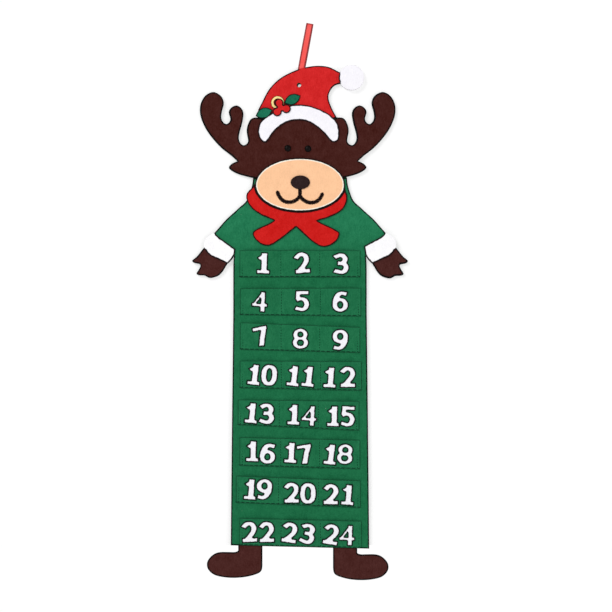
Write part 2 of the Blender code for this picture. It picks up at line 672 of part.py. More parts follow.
def digit_cells(figure, x, z, tilt):
    """The cells of one figure, turned clockwise by tilt and placed round (x, z).

    The strokes are drawn tall with one width and then pressed down, so level ones are thinner.
    """
    press = LEVEL_STROKE / UPRIGHT_STROKE
    half_width = (DIGIT_W - UPRIGHT_STROKE) / 2
    half_height = (DIGIT_H - LEVEL_STROKE) / 2 / press
    cells = []
    for bold, line in STROKE_SHARES.get(figure, []):
        points = placed(line, half_width, half_height)
        middle_line = smooth(points, closed=False) if len(points) > 2 else points
        cells += stroke(middle_line, bold * UPRIGHT_STROKE)
    for bold, middle_x, middle_z, wide, high in RING_SHARES.get(figure, []):
        ring = oval(
            middle_x * half_width,
            middle_z * half_height,
            wide * half_width,
            high * half_height,
            ROUND_POINTS,
        )
        cells += stroke(ring, bold * UPRIGHT_STROKE, closed=True)
    pressed = [[(px, pz * press) for px, pz in cell] for cell in cells]
    return [turned(cell, -math.radians(tilt), x, z) for cell in pressed]


def digits(row, strip, day, material):
    """The row's figures. A two-figure day's first figure is glued to the strip as one solid."""
    (left, right), bottoms, tops = strip_frame(row)
    seat = COVER_BACK - POCKET_GAPE - STRIP_T
    places = DIGIT_PLACE_SHARES[row]
    per_day = len(places) // (len(SEAM_SHARES) - 1)
    for i, (figure, across, up, tilt) in enumerate(places):
        bottom = bottoms[0] + (bottoms[1] - bottoms[0]) * across + HEM_LAND + HEM_RISE
        top = tops[0] + (tops[1] - tops[0]) * across
        z = bottom + DIGIT_H / 2 + up * (top - bottom - DIGIT_H)
        cells = digit_cells(figure, left + across * (right - left), z, tilt)
        number = day + i // per_day
        if i % per_day == per_day - 1:
            felt(f"number_{number:02d}", cells, material, seat - GAP, DIGIT_T)
            continue
        first = felt(f"number_{number:02d}_first", cells, material, seat + GAP, DIGIT_T + 2 * GAP)
        join(strip, first, "UNION")
    return day + len(places) // per_day


# Legs


def leg(name, side, material):
    """A leg's tucked top, sewn behind the hem, and the foot that folds on its upper edge."""
    middle = BODY_X + LEG_SIDE + side * LEG_SPREAD
    left, right = middle - LEG_W / 2, middle + LEG_W / 2
    hem = min(hem_z(left), hem_z(right))
    tuck_bottom = hem
    felt(
        f"leg_top_{name}",
        [box(left, right, tuck_bottom, tuck_bottom + LEG_TUCK)],
        material,
        TUCK / 2,
        TUCK,
    )
    foot_top = tuck_bottom - GAP
    inner = middle - side * LEG_W / 2
    outer = middle + side * LEG_W / 2
    sole = placed(FOOT_SHARES, FOOT_W, FOOT_H, inner, foot_top, side)
    ends = [(inner, foot_top, CORNER), (outer, foot_top, CORNER)]
    outline = smooth(ends + sole if side > 0 else ends[::-1] + sole)
    foot = felt(f"foot_{name}", [outline], material, FELT / 2)
    mesh = bmesh.new()
    mesh.from_mesh(foot.data)
    level = [e for e in mesh.edges if all(abs(v.co.z - foot_top) < WELD for v in e.verts)]
    along = [e for e in level if abs(e.verts[0].co.y - e.verts[1].co.y) < WELD]
    bmesh.ops.bevel(
        mesh,
        geom=along,
        offset=TOP_ROUND_SHARE * FELT,
        segments=TOP_ROUND_STEPS,
        profile=0.5,
        affect="EDGES",
    )
    bmesh.ops.triangulate(mesh, faces=mesh.faces)
    mesh.to_mesh(foot.data)
    mesh.free()
    return left, right, tuck_bottom


def main():
    for thing in list(bpy.data.objects):
        bpy.data.objects.remove(thing)

    green = cloth("green_felt", (0.016, 0.180, 0.070))
    brown = cloth("brown_felt", (0.062, 0.013, 0.011))
    red = cloth("red_felt", (0.660, 0.018, 0.022))
    white = cloth("white_felt", (0.900, 0.880, 0.920))
    peach = cloth("peach_felt", (0.950, 0.560, 0.310))
    black = cloth("black_thread", (0.012, 0.010, 0.012), 0.7)
    gloss = cloth("black_plastic", (0.004, 0.004, 0.006), 0.12)
    gold = cloth("gold_felt", (0.930, 0.740, 0.220))
    leaf_green = cloth("leaf_felt", (0.007, 0.155, 0.080))
    satin = cloth("red_satin", (0.800, 0.070, 0.060), 0.35)

    hat = smooth(placed(HAT_SHARES, HAT_W, HAT_H, BODY_X, HAT_Z))
    brim = smooth(placed(BRIM_SHARES, HAT_W, HAT_H, BODY_X, HAT_Z))
    head = head_outline()
    shirt = shirt_outline()
    cuffs = {side: sleeve_points(CUFF_SHARES, side) for side in (-1, 1)}
    hands = {side: hand_outline(side) for side in (-1, 1)}
    muzzle_x = HEAD_X + MUZZLE_SIDE
    muzzle_z = NECK_Z + MUZZLE_SHARE * FACE_H
    muzzle = oval(muzzle_x, muzzle_z, MUZZLE_W / 2, MUZZLE_H / 2, MUZZLE_POINTS)
    nail_hole = oval(*hat_point(NAIL_HOLE_SHARE), NAIL_HOLE_R, NAIL_HOLE_R, HOLE_POINTS)
    ribbon_side = RIBBON_W / 2 + OVERRUN
    slot = box(FOLD_X - ribbon_side, FOLD_X + ribbon_side, SLOT_Z, SLOT_Z + HAT_H)

    ribbon_loop(satin)
    ribbon_ends(satin)

    # The back panel has the outline of all the pieces that lie on it
    neck_half = SHOULDER_SHARES[0][0] * SLEEVE_SPAN - GAP
    neck = box(
        BODY_X - neck_half, BODY_X + neck_half, NECK_Z - NECK_OVERLAP, NECK_Z + NECK_OVERLAP
    )
    slipped_head = [(x - PANEL_SLIP, z) for x, z in head]
    slipped_hand = [(x, z - PANEL_SLIP) for x, z in hands[1]]
    panel_cells = [hat, brim, head, slipped_head, shirt, neck, *cuffs.values(), *hands.values()]
    for cuff in cuffs.values():  # closes the gap between shirt, cuff and hand
        x, z = min(cuff, key=lambda point: abs(point[0] - BODY_X))
        panel_cells.append(box(x - GUSSET, x + GUSSET, z - GUSSET, z + GUSSET))
    felt(
        "back_panel",
        [*panel_cells, slipped_hand],
        green,
        PANEL_BACK,
        cuts=[nail_hole, slot],
    )

    hat_piece = felt("hat", [hat], red, BASE_BACK, cuts=[nail_hole, slot])
    ribbon_left, ribbon_right = FOLD_X - RIBBON_W / 2 - GAP, FOLD_X + RIBBON_W / 2 + GAP
    recess(hat_piece, ribbon_left, ribbon_right, SLOT_Z - RIBBON_TUCK - GAP, SLOT_Z + OVERRUN)
    felt("head", [head], brown, BASE_BACK, cuts=[grown(hat, GAP)])
    shirt_piece = felt("shirt", [shirt], green, BASE_BACK)
    felt("brim", [brim], white, COVER_BACK)
    felt(
        "pompom",
        [oval(*hat_point(POMPOM_SHARE), POMPOM_R, POMPOM_R, POMPOM_POINTS)],
        white,
        COVER_BACK,
        POMPOM_T,
    )
    felt("muzzle", [muzzle], peach, COVER_BACK, MUZZLE_T)
    scarf = placed(SCARF_SHARES, SCARF_W, SCARF_H, BODY_X + SCARF_SIDE, NECK_Z - SCARF_DROP)
    felt("scarf", [smooth(scarf)], red, COVER_BACK, cuts=[grown(muzzle, GAP)])

    for name, side in (("left", -1), ("right", 1)):
        felt(f"cuff_{name}", [cuffs[side]], white, COVER_BACK)
        felt(f"hand_{name}", [hands[side]], brown, BASE_BACK, cuts=[grown(shirt, GAP)])
        eye_x, eye_z = head_point(EYE_SHARES[name])
        dome(f"eye_{name}", EYE_R, EYE_R, EYE_H, eye_x, eye_z, COVER_BACK, gloss)
        left, right, bottom = leg(name, side, brown)
        seat_top = bottom + LEG_TUCK + GAP
        recess(shirt_piece, left - GAP, right + GAP, bottom - HEM_SLANT, seat_top)

    face_back = COVER_BACK - MUZZLE_T - GAP
    nose_x = muzzle_x + NOSE_SHARE[0] * MUZZLE_W
    nose_z = muzzle_z + NOSE_SHARE[1] * MUZZLE_H
    dome("nose", NOSE_W / 2, NOSE_H / 2, NOSE_T, nose_x, nose_z, face_back, black, sides=24)
    mouth = []
    for shares in MOUTH_SHARES:
        line = placed(shares, MUZZLE_W, MUZZLE_H, muzzle_x, muzzle_z)
        mouth += stroke(smooth(line, closed=False) if len(line) > 2 else line, MOUTH_LINE)
    nose = oval(nose_x, nose_z, NOSE_W / 2 + GAP, NOSE_H / 2 + GAP, MUZZLE_POINTS)
    felt("mouth", mouth, black, face_back, MOUTH_T, cuts=[nose])

    # The holly: ring and right leaf on the hat, left leaf and berries over the brim
    leaf = placed(LEAF_SHARES, LEAF_L, LEAF_W)
    lower = [(x, -z, *corner) for x, z, *corner in leaf[1:-1]]
    leaf = smooth(leaf + lower[::-1])
    left_leaf = turned(leaf, LEFT_LEAF_TURN, *hat_point(LEFT_LEAF_SHARE))
    right_leaf = turned(leaf, RIGHT_LEAF_TURN, *hat_point(RIGHT_LEAF_SHARE))
    middle = RING_R - RING_BAND / 2
    ring = stroke(oval(*hat_point(RING_SHARE), middle, middle, RING_POINTS), RING_BAND, True)
    ring_rim = oval(*hat_point(RING_SHARE), RING_R, RING_R, RING_POINTS)
    berries = [
        oval(*hat_point(share), BERRY_R, BERRY_R, BERRY_POINTS) for share in BERRY_SHARES
    ]
    felt("holly_ring", ring, gold, COVER_BACK, RING_T, cuts=[grown(brim, GAP)])
    right_cuts = [grown(brim, GAP), grown(ring_rim, GAP)]
    felt("holly_leaf_right", [right_leaf], leaf_green, COVER_BACK, LEAF_T, cuts=right_cuts)
    web = grown([hat_point(share) for share in BERRY_SHARES], BERRY_WEB)
    left_cuts = [grown(shape, GAP) for shape in [*berries, web]]
    felt("holly_leaf_left", [left_leaf], leaf_green, TRIM_BACK, LEAF_T, cuts=left_cuts)
    felt("holly_berries", [*berries, web], red, TRIM_BACK, BERRY_T)

    day = 1
    for row in range(STRIPS):
        strip = pocket_strip(row, green)
        day = digits(row, strip, day, white)


main()
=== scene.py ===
"""The looks of a hanging felt advent calendar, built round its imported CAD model.

The sections follow the order in which the calendar is sewn: back panel, ribbon, hat, head,
shirt, hands, trimmings, face, pockets, figures, stitches and legs. Sizes are in metres. The
camera, the lights and the white card behind the calendar come last.
"""

import math

import bmesh
import bpy
import numpy as np
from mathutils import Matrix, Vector
from mathutils.geometry import delaunay_2d_cdt


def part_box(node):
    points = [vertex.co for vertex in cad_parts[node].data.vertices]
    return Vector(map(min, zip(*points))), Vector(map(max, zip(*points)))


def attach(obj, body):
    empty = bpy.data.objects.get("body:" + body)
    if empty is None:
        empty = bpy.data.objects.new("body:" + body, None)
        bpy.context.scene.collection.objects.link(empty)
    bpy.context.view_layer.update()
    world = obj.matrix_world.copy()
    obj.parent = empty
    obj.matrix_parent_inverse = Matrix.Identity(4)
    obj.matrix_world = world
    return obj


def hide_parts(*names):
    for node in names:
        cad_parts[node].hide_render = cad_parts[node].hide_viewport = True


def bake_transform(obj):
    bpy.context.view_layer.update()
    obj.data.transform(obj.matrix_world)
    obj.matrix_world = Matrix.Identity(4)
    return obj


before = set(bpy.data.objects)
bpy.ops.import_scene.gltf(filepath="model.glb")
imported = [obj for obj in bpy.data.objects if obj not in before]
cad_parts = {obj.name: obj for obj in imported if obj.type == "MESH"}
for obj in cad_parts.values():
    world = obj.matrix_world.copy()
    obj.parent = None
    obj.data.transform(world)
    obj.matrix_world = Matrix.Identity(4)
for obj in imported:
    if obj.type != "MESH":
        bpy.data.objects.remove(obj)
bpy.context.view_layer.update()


# Back panel. Green felt 2 mm thick with the outline of the whole figure, cut with a hot blade.
# The dark line along the edge is partly the scorched cut and partly painted shadow of the
# felt's edge. Everything else is sewn or glued to it.


def cut_lines(node):
    """The cut edges of a flat CAD piece as closed lines of (x, z), the outline before the holes."""
    mesh = bmesh.new()
    mesh.from_mesh(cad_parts[node].data)
    bmesh.ops.remove_doubles(mesh, verts=mesh.verts, dist=1e-6)
    mesh.faces.index_update()
    front = min(v.co.y for v in mesh.verts)
    faces = [f for f in mesh.faces if all(v.co.y - front < 2e-5 for v in f.verts)]
    known = {f.index for f in faces}
    follow = {}
    for face in faces:
        for loop in face.loops:
            if not any(f.index in known and f is not face for f in loop.edge.link_faces):
                after = loop.link_loop_next.vert
                follow[loop.vert.index] = after.index, (loop.vert.co.x, loop.vert.co.z)
    lines = []
    while follow:
        at, line = next(iter(follow)), []
        while at in follow:
            at, place = follow.pop(at)
            line.append(place)
        lines.append(np.array(line))
    mesh.free()
    return sorted(lines, key=lambda line: -np.ptp(line[:, 1]))


def eased(line, step, corner=0.61):
    """A closed line with a point every step, curved through its points.

    Where it turns by more than corner, in radians, it stays sharp.
    """
    along = np.roll(line, -1, 0) - line
    heading = np.arctan2(along[:, 1], along[:, 0])
    turn = (heading - np.roll(heading, 1) + math.pi) % (2 * math.pi) - math.pi
    corners = np.flatnonzero(np.abs(turn) > corner)
    count = len(line)
    runs = []
    if len(corners) == 0:
        runs.append(line[np.arange(-1, count + 2) % count])
    for i, first in enumerate(corners):
        last = corners[(i + 1) % len(corners)]
        span = (last - first) % count or count
        run = line[(first + np.arange(span + 1)) % count]
        runs.append(np.vstack([2 * run[0] - run[1], run, 2 * run[-1] - run[-2]]))
    points = []
    for run in runs:
        fine = []
        for a, b, c, d in zip(run, run[1:], run[2:], run[3:]):
            knots = np.cumsum([0] + [max(np.hypot(*(q - p)), 1e-7) ** 0.5 for p, q in
                                     ((a, b), (b, c), (c, d))])
            t = np.linspace(knots[1], knots[2], 9)[:-1, None]
            ab = ((knots[1] - t) * a + t * b) / knots[1]
            bc = ((knots[2] - t) * b + (t - knots[1]) * c) / (knots[2] - knots[1])
            cd = ((knots[3] - t) * c + (t - knots[2]) * d) / (knots[3] - knots[2])
            abc = ((knots[2] - t) * ab + t * bc) / knots[2]
            bcd = ((knots[3] - t) * bc + (t - knots[1]) * cd) / (knots[3] - knots[1])
            fine.append(((knots[2] - t) * abc + (t - knots[1]) * bcd) / (knots[2] - knots[1]))
        fine = np.vstack([*fine, run[-2]])
        far = np.concatenate([[0], np.cumsum(np.hypot(*np.diff(fine, axis=0).T))])
        parts = max(2, round(far[-1] / step))
        even = np.linspace(0, far[-1], parts + 1)[:-1]
        points.append(np.column_stack([np.interp(even, far, fine[:, k]) for k in (0, 1)]))
    return np.vstack(points)


def inside(points, lines):
    """Which points lie on the felt, between its outer edge and its holes."""
    crossings = np.zeros(len(points), int)
    for line in lines:
        a, b = line, np.roll(line, -1, 0)
        for first in range(0, len(points), 2000):
            x, z = points[first : first + 2000, 0, None], points[first : first + 2000, 1, None]
            spans = (a[:, 1] > z) != (b[:, 1] > z)
            rise = np.where(b[:, 1] == a[:, 1], 1, b[:, 1] - a[:, 1])
            at = a[:, 0] + (z - a[:, 1]) / rise * (b[:, 0] - a[:, 0])
            crossings[first : first + 2000] += (spans & (x < at)).sum(1)
    return crossings % 2 == 1


def edge_distance(points, lines):
    """How far each point is from the nearest cut edge."""
    nearest = np.full(len(points), 1.0)
    for line in lines:
        a, along = line, np.roll(line, -1, 0) - line
        long = np.maximum((along**2).sum(1), 1e-18)
        for first in range(0, len(points), 1000):
            away = points[first : first + 1000, None] - a
            share = np.clip((away * along).sum(2) / long, 0, 1)
            gap = away - share[:, :, None] * along
            reach = np.sqrt((gap**2).sum(2).min(1))
            nearest[first : first + 1000] = np.minimum(nearest[first : first + 1000], reach)
    return nearest


WAVE_HEIGHT = 0.00042
WAVES_FROM = -0.10  # the felt is flat above this height
WAVES_GROW = 0.15  # and waves fully this far below it
# Of each wave its share of the height, its lengths along x and z, and its phase
WAVES = ((1, 0.31, 0.43, 0.6), (0.6, 0.17, -0.23, 2.1), (0.35, 0.11, 0.29, 4.0))


def sway(x, z):
    """How the hanging felt waves a little, towards the wall where it is positive."""
    hung = np.clip((WAVES_FROM - z) / WAVES_GROW, 0, 1)
    wave = sum(share * np.sin(2 * math.pi * (x / across + z / down) + phase)
               for share, across, down, phase in WAVES)
    return WAVE_HEIGHT * hung * wave


def placed(name, data, cloth=None):
    """Puts a mesh, a light or a camera into the scene, and gives it its material."""
    if cloth:
        data.materials.append(cloth)
    thing = bpy.data.objects.new(name, data)
    bpy.context.scene.collection.objects.link(thing)
    return thing


WELL_INSIDE = 9  # millimetres from the edge, beyond every dark line


def cut_felt(name, lines, back, thickness, cloth, step=0.002, grid=0.005, **shape):
    """A piece of felt cut along closed lines, wall side at y = back, with softly rounded edges.

    shape may hold rings (distances from the edge that get their own points), lift (how far the
    felt stands off at x, z), crown (how much thicker it is at a distance from the edge), thin
    (a share of the thickness at x, z), over (the felt beneath, along which the edge gets a painted
    shadow line) and punched (the holes aren't cut with the hot blade).
    """
    lines = [eased(line, step) for line in lines]
    rings = shape.get("rings", (0.00016, 0.0005, 0.0012, 0.0020, 0.0031))
    rim = np.vstack(lines)
    edges, inward, first = [], [], 0
    for line in lines:
        count = len(line)
        edges += [(first + i, first + (i + 1) % count) for i in range(count)]
        first += count
        along = np.roll(line, -1, 0) - line
        side = np.column_stack([-along[:, 1], along[:, 0]])
        side /= np.maximum(np.hypot(*side.T), 1e-12)[:, None]
        both = side + np.roll(side, 1, 0)
        inward.append(both / np.maximum((both**2).sum(1) / 2, 0.7)[:, None])
    inward = np.vstack(inward)
    low, high = rim.min(0), rim.max(0)
    lattice = []
    for i, z in enumerate(np.arange(low[1], high[1], grid * 0.87)):
        across = np.arange(low[0] + (i % 2) * grid / 2, high[0], grid)
        lattice.append(np.column_stack([across, np.full(len(across), z)]))
    wanted = [(rim + inward * ring, ring * 0.85) for ring in rings]
    wanted.append((np.vstack(lattice), rings[-1] + grid * 0.4))
    points, depth = [rim], [np.zeros(len(rim))]
    for found, least in wanted:
        found = found[inside(found, lines)]
        away = edge_distance(found, lines)
        points.append(found[away >= least])
        depth.append(away[away >= least])
    points, depth = np.vstack(points), np.concatenate(depth)
    flat = delaunay_2d_cdt([Vector(p) for p in points], edges, [], 0, 1e-7)
    place = np.array([p[:] for p in flat[0]])
    where = {old: new for new, olds in enumerate(flat[3]) for old in olds}
    deep = np.zeros(len(place))
    for old, new in where.items():
        deep[new] = depth[old]
    triangles = np.array(flat[2])
    triangles = triangles[inside(place[triangles].mean(1), lines)]
    ab = place[triangles[:, 1]] - place[triangles[:, 0]]
    ac = place[triangles[:, 2]] - place[triangles[:, 0]]
    twice = ab[:, 0] * ac[:, 1] - ab[:, 1] * ac[:, 0]
    triangles[twice < 0] = triangles[twice < 0][:, ::-1]
    # A sliver between three points of one straight edge belongs to neither side
    triangles = triangles[(np.abs(twice) > 1e-9) | (deep[triangles].max(1) > 0)]

    x, z = place.T
    thick = thickness * shape.get("thin", lambda x, z: np.ones(len(x)))(x, z)
    soft = np.minimum(0.0005, thick * 0.35)
    drop = soft - np.sqrt(np.maximum(soft**2 - np.maximum(soft - deep, 0) ** 2, 0))
    middle = back - thickness / 2 + sway(x, z) - shape.get("lift", lambda x, z: 0)(x, z)
    crown = shape.get("crown", lambda d: 0)(deep)
    front = np.column_stack([x, middle - thick / 2 + drop - crown, z])
    rear = np.column_stack([x, middle + thick / 2 - drop, z])
    wall = [(where[a], len(x) + where[a], len(x) + where[b], where[b]) for a, b in edges]
    faces = [*triangles.tolist(), *(triangles[:, ::-1] + len(x)).tolist(), *wall]
    mesh = bpy.data.meshes.new(name)
    mesh.from_pydata(np.vstack([front, rear]).tolist(), [], faces)
    mesh.shade_smooth()
    burnt = edge_distance(place, lines[:1]) if shape.get("punched") else deep
    mesh.attributes.new("edge_mm", "FLOAT", "POINT").data.foreach_set(
        "value", np.tile(np.minimum(burnt * 1000, WELL_INSIDE), 2).astype(np.float32)
    )
    # Painted shadow on the edge where it lies over the felt beneath
    if "over" in shape:
        beyond = inside(rim - inward * 0.0011, shape["over"]).astype(np.float32)
        beyond = (np.roll(beyond, 1) + beyond + np.roll(beyond, -1)) / 3
        nearest = [int(((rim - point) ** 2).sum(1).argmin()) for point in place]
        mesh.attributes.new("join_shade", "FLOAT", "POINT").data.foreach_set(
            "value", np.tile(beyond[nearest], 2)
        )
    piece = placed(name, mesh, cloth)
    area = sum(0.5 * (np.roll(p, -1, 0)[:, 1] * p[:, 0] - np.roll(p, -1, 0)[:, 0] * p[:, 1]).sum()
               for p in lines)
    piece["cut"] = [*(high - low).tolist(), float(area)]
    return piece


def sewn_on(piece, nodes, body="calendar"):
    """Puts a cut piece of felt on its body in place of its CAD nodes, which it hides."""
    if body:
        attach(piece, body)
    if nodes:
        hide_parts(*nodes)


def put(tree, kind, inputs=None, **settings):
    """Adds a shader or geometry node, sets it, and links or sets its inputs."""
    made = tree.nodes.new(kind)
    for name, value in settings.items():
        setattr(made, name, value)
    for name, value in (inputs or {}).items():
        if isinstance(value, bpy.types.NodeSocket):
            tree.links.new(value, made.inputs[name])
        else:
            made.inputs[name].default_value = value
    return made


def group_with(name, kind, ins, outs):
    """An empty node group with its sockets, as (group, its inputs, its output node)."""
    group = bpy.data.node_groups.new(name, kind)
    types = {"float": "NodeSocketFloat", "colour": "NodeSocketColor", "vector": "NodeSocketVector"}
    for label, (sort, value) in ins.items():
        socket = group.interface.new_socket(label, in_out="INPUT", socket_type=types[sort])
        socket.default_value = value
    for label, sort in outs.items():
        group.interface.new_socket(label, in_out="OUTPUT", socket_type=types[sort])
    return group, put(group, "NodeGroupInput").outputs, put(group, "NodeGroupOutput")


def math_of(tree, operation, a, b=0.0):
    return put(tree, "ShaderNodeMath", {0: a, 1: b}, operation=operation).outputs[0]


def mixed(tree, factor, a, b, blend="MIX"):
    """A colour between a and b."""
    return put(tree, "ShaderNodeMix", {0: factor, 6: a, 7: b},
               data_type="RGBA", blend_type=blend).outputs[2]


def new_cloth(name, values):
    """A new material with these values in its shader, as (material, node tree)."""
    cloth = bpy.data.materials.new(name)
    cloth.use_nodes = True
    for label, value in values.items():
        cloth.node_tree.nodes["Principled BSDF"].inputs[label].default_value = value
    return cloth, cloth.node_tree


def surfaced(tree, colour, height, strength, distance):
    """Gives a material its colour, and relief from a height."""
    bump = put(tree, "ShaderNodeBump",
               {"Height": height, "Strength": strength, "Distance": distance})
    shader = tree.nodes["Principled BSDF"]
    tree.links.new(colour, shader.inputs["Base Color"])
    tree.links.new(bump.outputs[0], shader.inputs["Normal"])


def toned(colour, share):
    """A darker or lighter colour."""
    return (*[min(c * share, 1) for c in colour[:3]], 1)


def pressed_fibres():
    """Felt's surface: cloudy shade, short crossed fibres, a few specks of lint."""
    group, given, out = group_with(
        "pressed_fibres", "ShaderNodeTree",
        {"Place": ("vector", (0, 0, 0)), "Cloud size": ("float", 0.016),
         "Fibre size": ("float", 0.0024)},
        {"Shade": "float", "Height": "float", "Lint": "float"},
    )
    cloud_scale = math_of(group, "DIVIDE", 1.0, given["Cloud size"])
    fibre_scale = math_of(group, "DIVIDE", 1.0, given["Fibre size"])
    cloud = put(group, "ShaderNodeTexNoise",
                {"Vector": given["Place"], "Scale": cloud_scale, "Detail": 4, "Roughness": 0.6})
    speckle = put(group, "ShaderNodeTexNoise",
                  {"Vector": given["Place"], "Scale": fibre_scale, "Detail": 3, "Roughness": 0.7})
    shade = math_of(group, "ADD", math_of(group, "MULTIPLY", cloud.outputs[0], 0.5),
                    math_of(group, "MULTIPLY", speckle.outputs[0], 0.5))
    height = math_of(group, "MULTIPLY", speckle.outputs[0], 0.5)
    for turn in (0.5, 1.7, 2.8):
        lie = put(group, "ShaderNodeMapping", {"Vector": given["Place"]})
        lie.inputs["Rotation"].default_value = (0, turn, 0)
        lie.inputs["Scale"].default_value = (1, 1, 0.16)
        finer = math_of(group, "MULTIPLY", fibre_scale, 2.2)
        fibre = put(group, "ShaderNodeTexNoise",
                    {"Vector": lie.outputs[0], "Scale": finer, "Detail": 2, "Roughness": 0.6,
                     "Distortion": 0.4})
        shade = math_of(group, "ADD", shade, math_of(group, "MULTIPLY", fibre.outputs[0], 0.28))
        height = math_of(group, "ADD", height, math_of(group, "MULTIPLY", fibre.outputs[0], 0.6))
    cells = put(group, "ShaderNodeTexVoronoi", {"Vector": given["Place"], "Scale": 34.0})
    speck = math_of(group, "LESS_THAN", cells.outputs["Distance"], 0.021)
    chosen = math_of(group, "GREATER_THAN", cells.outputs["Color"], 0.7)
    lint = math_of(group, "MULTIPLY", speck, chosen)
    span = put(group, "ShaderNodeMapRange", {0: shade, 1: 0.74, 2: 1.10, 3: 0.0, 4: 1.0})
    for label, socket in (("Shade", span.outputs[0]), ("Height", height), ("Lint", lint)):
        group.links.new(socket, out.inputs[label])
    return group


def burnt_edge():
    """The dark line along a cut edge, of uneven width, from the distance to the edge; partly the
    blade's scorched edge, partly painted shadow.
    """
    group, given, out = group_with(
        "burnt_edge", "ShaderNodeTree",
        {"Colour": ("colour", (1, 1, 1, 1)), "Burn and shade": ("colour", (0, 0, 0, 1)),
         "Edge": ("float", 9.0), "Width": ("float", 0.7), "Place": ("vector", (0, 0, 0))},
        {"Colour": "colour"},
    )
    wander = put(group, "ShaderNodeTexNoise",
                 {"Vector": given["Place"], "Scale": 170.0, "Detail": 3})
    width = math_of(group, "MULTIPLY", given["Width"],
                    math_of(group, "ADD", math_of(group, "MULTIPLY", wander.outputs[0], 0.9), 0.55))
    far = math_of(group, "DIVIDE", given["Edge"], math_of(group, "MAXIMUM", width, 0.01))
    mask = put(group, "ShaderNodeMapRange", {0: far, 1: 0.72, 2: 1.15, 3: 1.0, 4: 0.0},
               interpolation_type="SMOOTHSTEP")
    colour = mixed(group, mask.outputs[0], given["Colour"], given["Burn and shade"])
    group.links.new(colour, out.inputs["Colour"])
    return group


fibres, burn = pressed_fibres(), burnt_edge()


LIT = 1.06  # how bright the lights below show a fully white surface


def linear(red, green, blue):
    """A cloth's own colour, from the colour out of 255 that it has in the picture."""
    return (*[((c / 255 + 0.055) / 1.055) ** 2.4 / LIT for c in (red, green, blue)], 1)


def felt_cloth(name, colour, burnt, width=0.8, contrast=0.26, lint=0.25, inner=None, part=False,
               below=None):
    """Matte pressed felt. inner is a second edge line, as (colour, from, to) in millimetres.

    With part set, only the edges that lie over other felt are dark, a painted shadow line read
    from a point attribute. below is the colour that the felt has lower down, as (colour,
    highest, lowest).
    """
    cloth, tree = new_cloth(name, {"Roughness": 0.95, "Specular IOR Level": 0.08,
                                   "Sheen Weight": 0.04, "Sheen Roughness": 0.6})
    place = put(tree, "ShaderNodeTexCoord").outputs["Object"]
    edge = put(tree, "ShaderNodeAttribute", attribute_name="edge_mm").outputs["Fac"]
    look = put(tree, "ShaderNodeGroup", node_tree=fibres)
    tree.links.new(place, look.inputs["Place"])
    base = linear(*colour)
    darker = tuple(max(c * (1 - contrast) - 0.003, 0) for c in base[:3]) + (1,)
    lighter = tuple(min(c * (1 + contrast) + 0.007, 1) for c in base[:3]) + (1,)
    shade = mixed(tree, look.outputs["Shade"], darker, lighter)
    if below:
        tone, highest, lowest = below
        height = put(tree, "ShaderNodeSeparateXYZ", {0: place}).outputs[2]
        low = put(tree, "ShaderNodeMapRange", {0: height, 1: highest, 2: lowest, 3: 0.0, 4: 1.0})
        ratio = tuple(b / a for a, b in zip(base[:3], linear(*tone))) + (1,)
        lower = mixed(tree, 1.0, shade, ratio, blend="MULTIPLY")
        shade = mixed(tree, low.outputs[0], shade, lower)
    pale = tuple(c + (0.8 - c) * lint for c in base[:3]) + (1,)
    shade = mixed(tree, look.outputs["Lint"], shade, pale)
    if inner:
        tone, start, stop = inner
        band = put(tree, "ShaderNodeMapRange", {0: edge, 1: start, 2: stop, 3: 1.0, 4: 0.0},
                   interpolation_type="SMOOTHSTEP")
        shade = mixed(tree, band.outputs[0], shade, linear(*tone))
    # The dark line along the edges: partly scorched felt, partly painted shadow
    line = put(tree, "ShaderNodeGroup", node_tree=burn)
    for label, value in (("Colour", shade), ("Edge", edge), ("Place", place)):
        tree.links.new(value, line.inputs[label])
    line.inputs["Burn and shade"].default_value = linear(*burnt)
    line.inputs["Width"].default_value = width
    # Painted shadow line only where the felt lies over dyed felt
    if part:
        join_shade = put(tree, "ShaderNodeAttribute", attribute_name="join_shade").outputs["Fac"]
        tree.links.new(math_of(tree, "MULTIPLY", join_shade, width), line.inputs["Width"])
    surfaced(tree, line.outputs["Colour"], look.outputs["Height"], 0.55, 0.00035)
    return cloth


FELT = 0.002  # thickness of most pieces
PANEL_BACK = 0.0027  # wall side of the back panel
BASE_BACK = 0.0004  # wall side of the layer of hat, head, shirt and hands
COVER_BACK = -0.0019  # wall side of the layer of brim, cuffs, scarf and muzzle


def felt_piece(node, back, cloth, slot, rests_on, lines=None, thickness=FELT, **shape):
    """Cuts felt along the outline of a CAD node, or along lines, and sews it on in its place."""
    piece = cut_felt(f"{node}_felt", lines or cut_lines(node), back, thickness, cloth, **shape)
    sewn_on(piece, [node])
    return piece


def without_dark_edge(piece, where):
    """Leaves the dark line out of a piece's edge where a test of x and z says so."""
    for point, line in zip(piece.data.vertices, piece.data.attributes["edge_mm"].data):
        if where(point.co.x, point.co.z):
            line.value = WELL_INSIDE


green_felt = felt_cloth("green_felt", (29, 119, 79), (4, 18, 13), width=2.7, contrast=0.18,
                        below=((22, 106, 66), -0.37, -0.47))

outline = cut_lines("back_panel")
x, z = outline[0].T
slit_x = (np.abs(x + 0.0907) < 0.0042) | (np.abs(x - 0.0445) < 0.0048)
slit = slit_x & (np.abs(z + 0.177) < 0.0015)
outline[0] = outline[0][~slit]  # no slits between the hat and the ears
middle = outline[1].mean(0)
# The nail hole is a little smaller than the hat's and out of true with it, so that its dark
# edge shows at the upper left: painted shade of the hole's wall
outline[1] = middle + (0.0015, -0.0019) + (outline[1] - middle) * 0.85
felt_piece("back_panel", PANEL_BACK, green_felt, "green_felt", ["hat_felt", "shirt_felt"],
           outline, grid=0.006)


# Hanging ribbon. One strip of coral satin, 13 mm wide, folded into a loop. Its two ends lie
# one on the other, caught between the hat and the back panel, and the loop leans to the right.

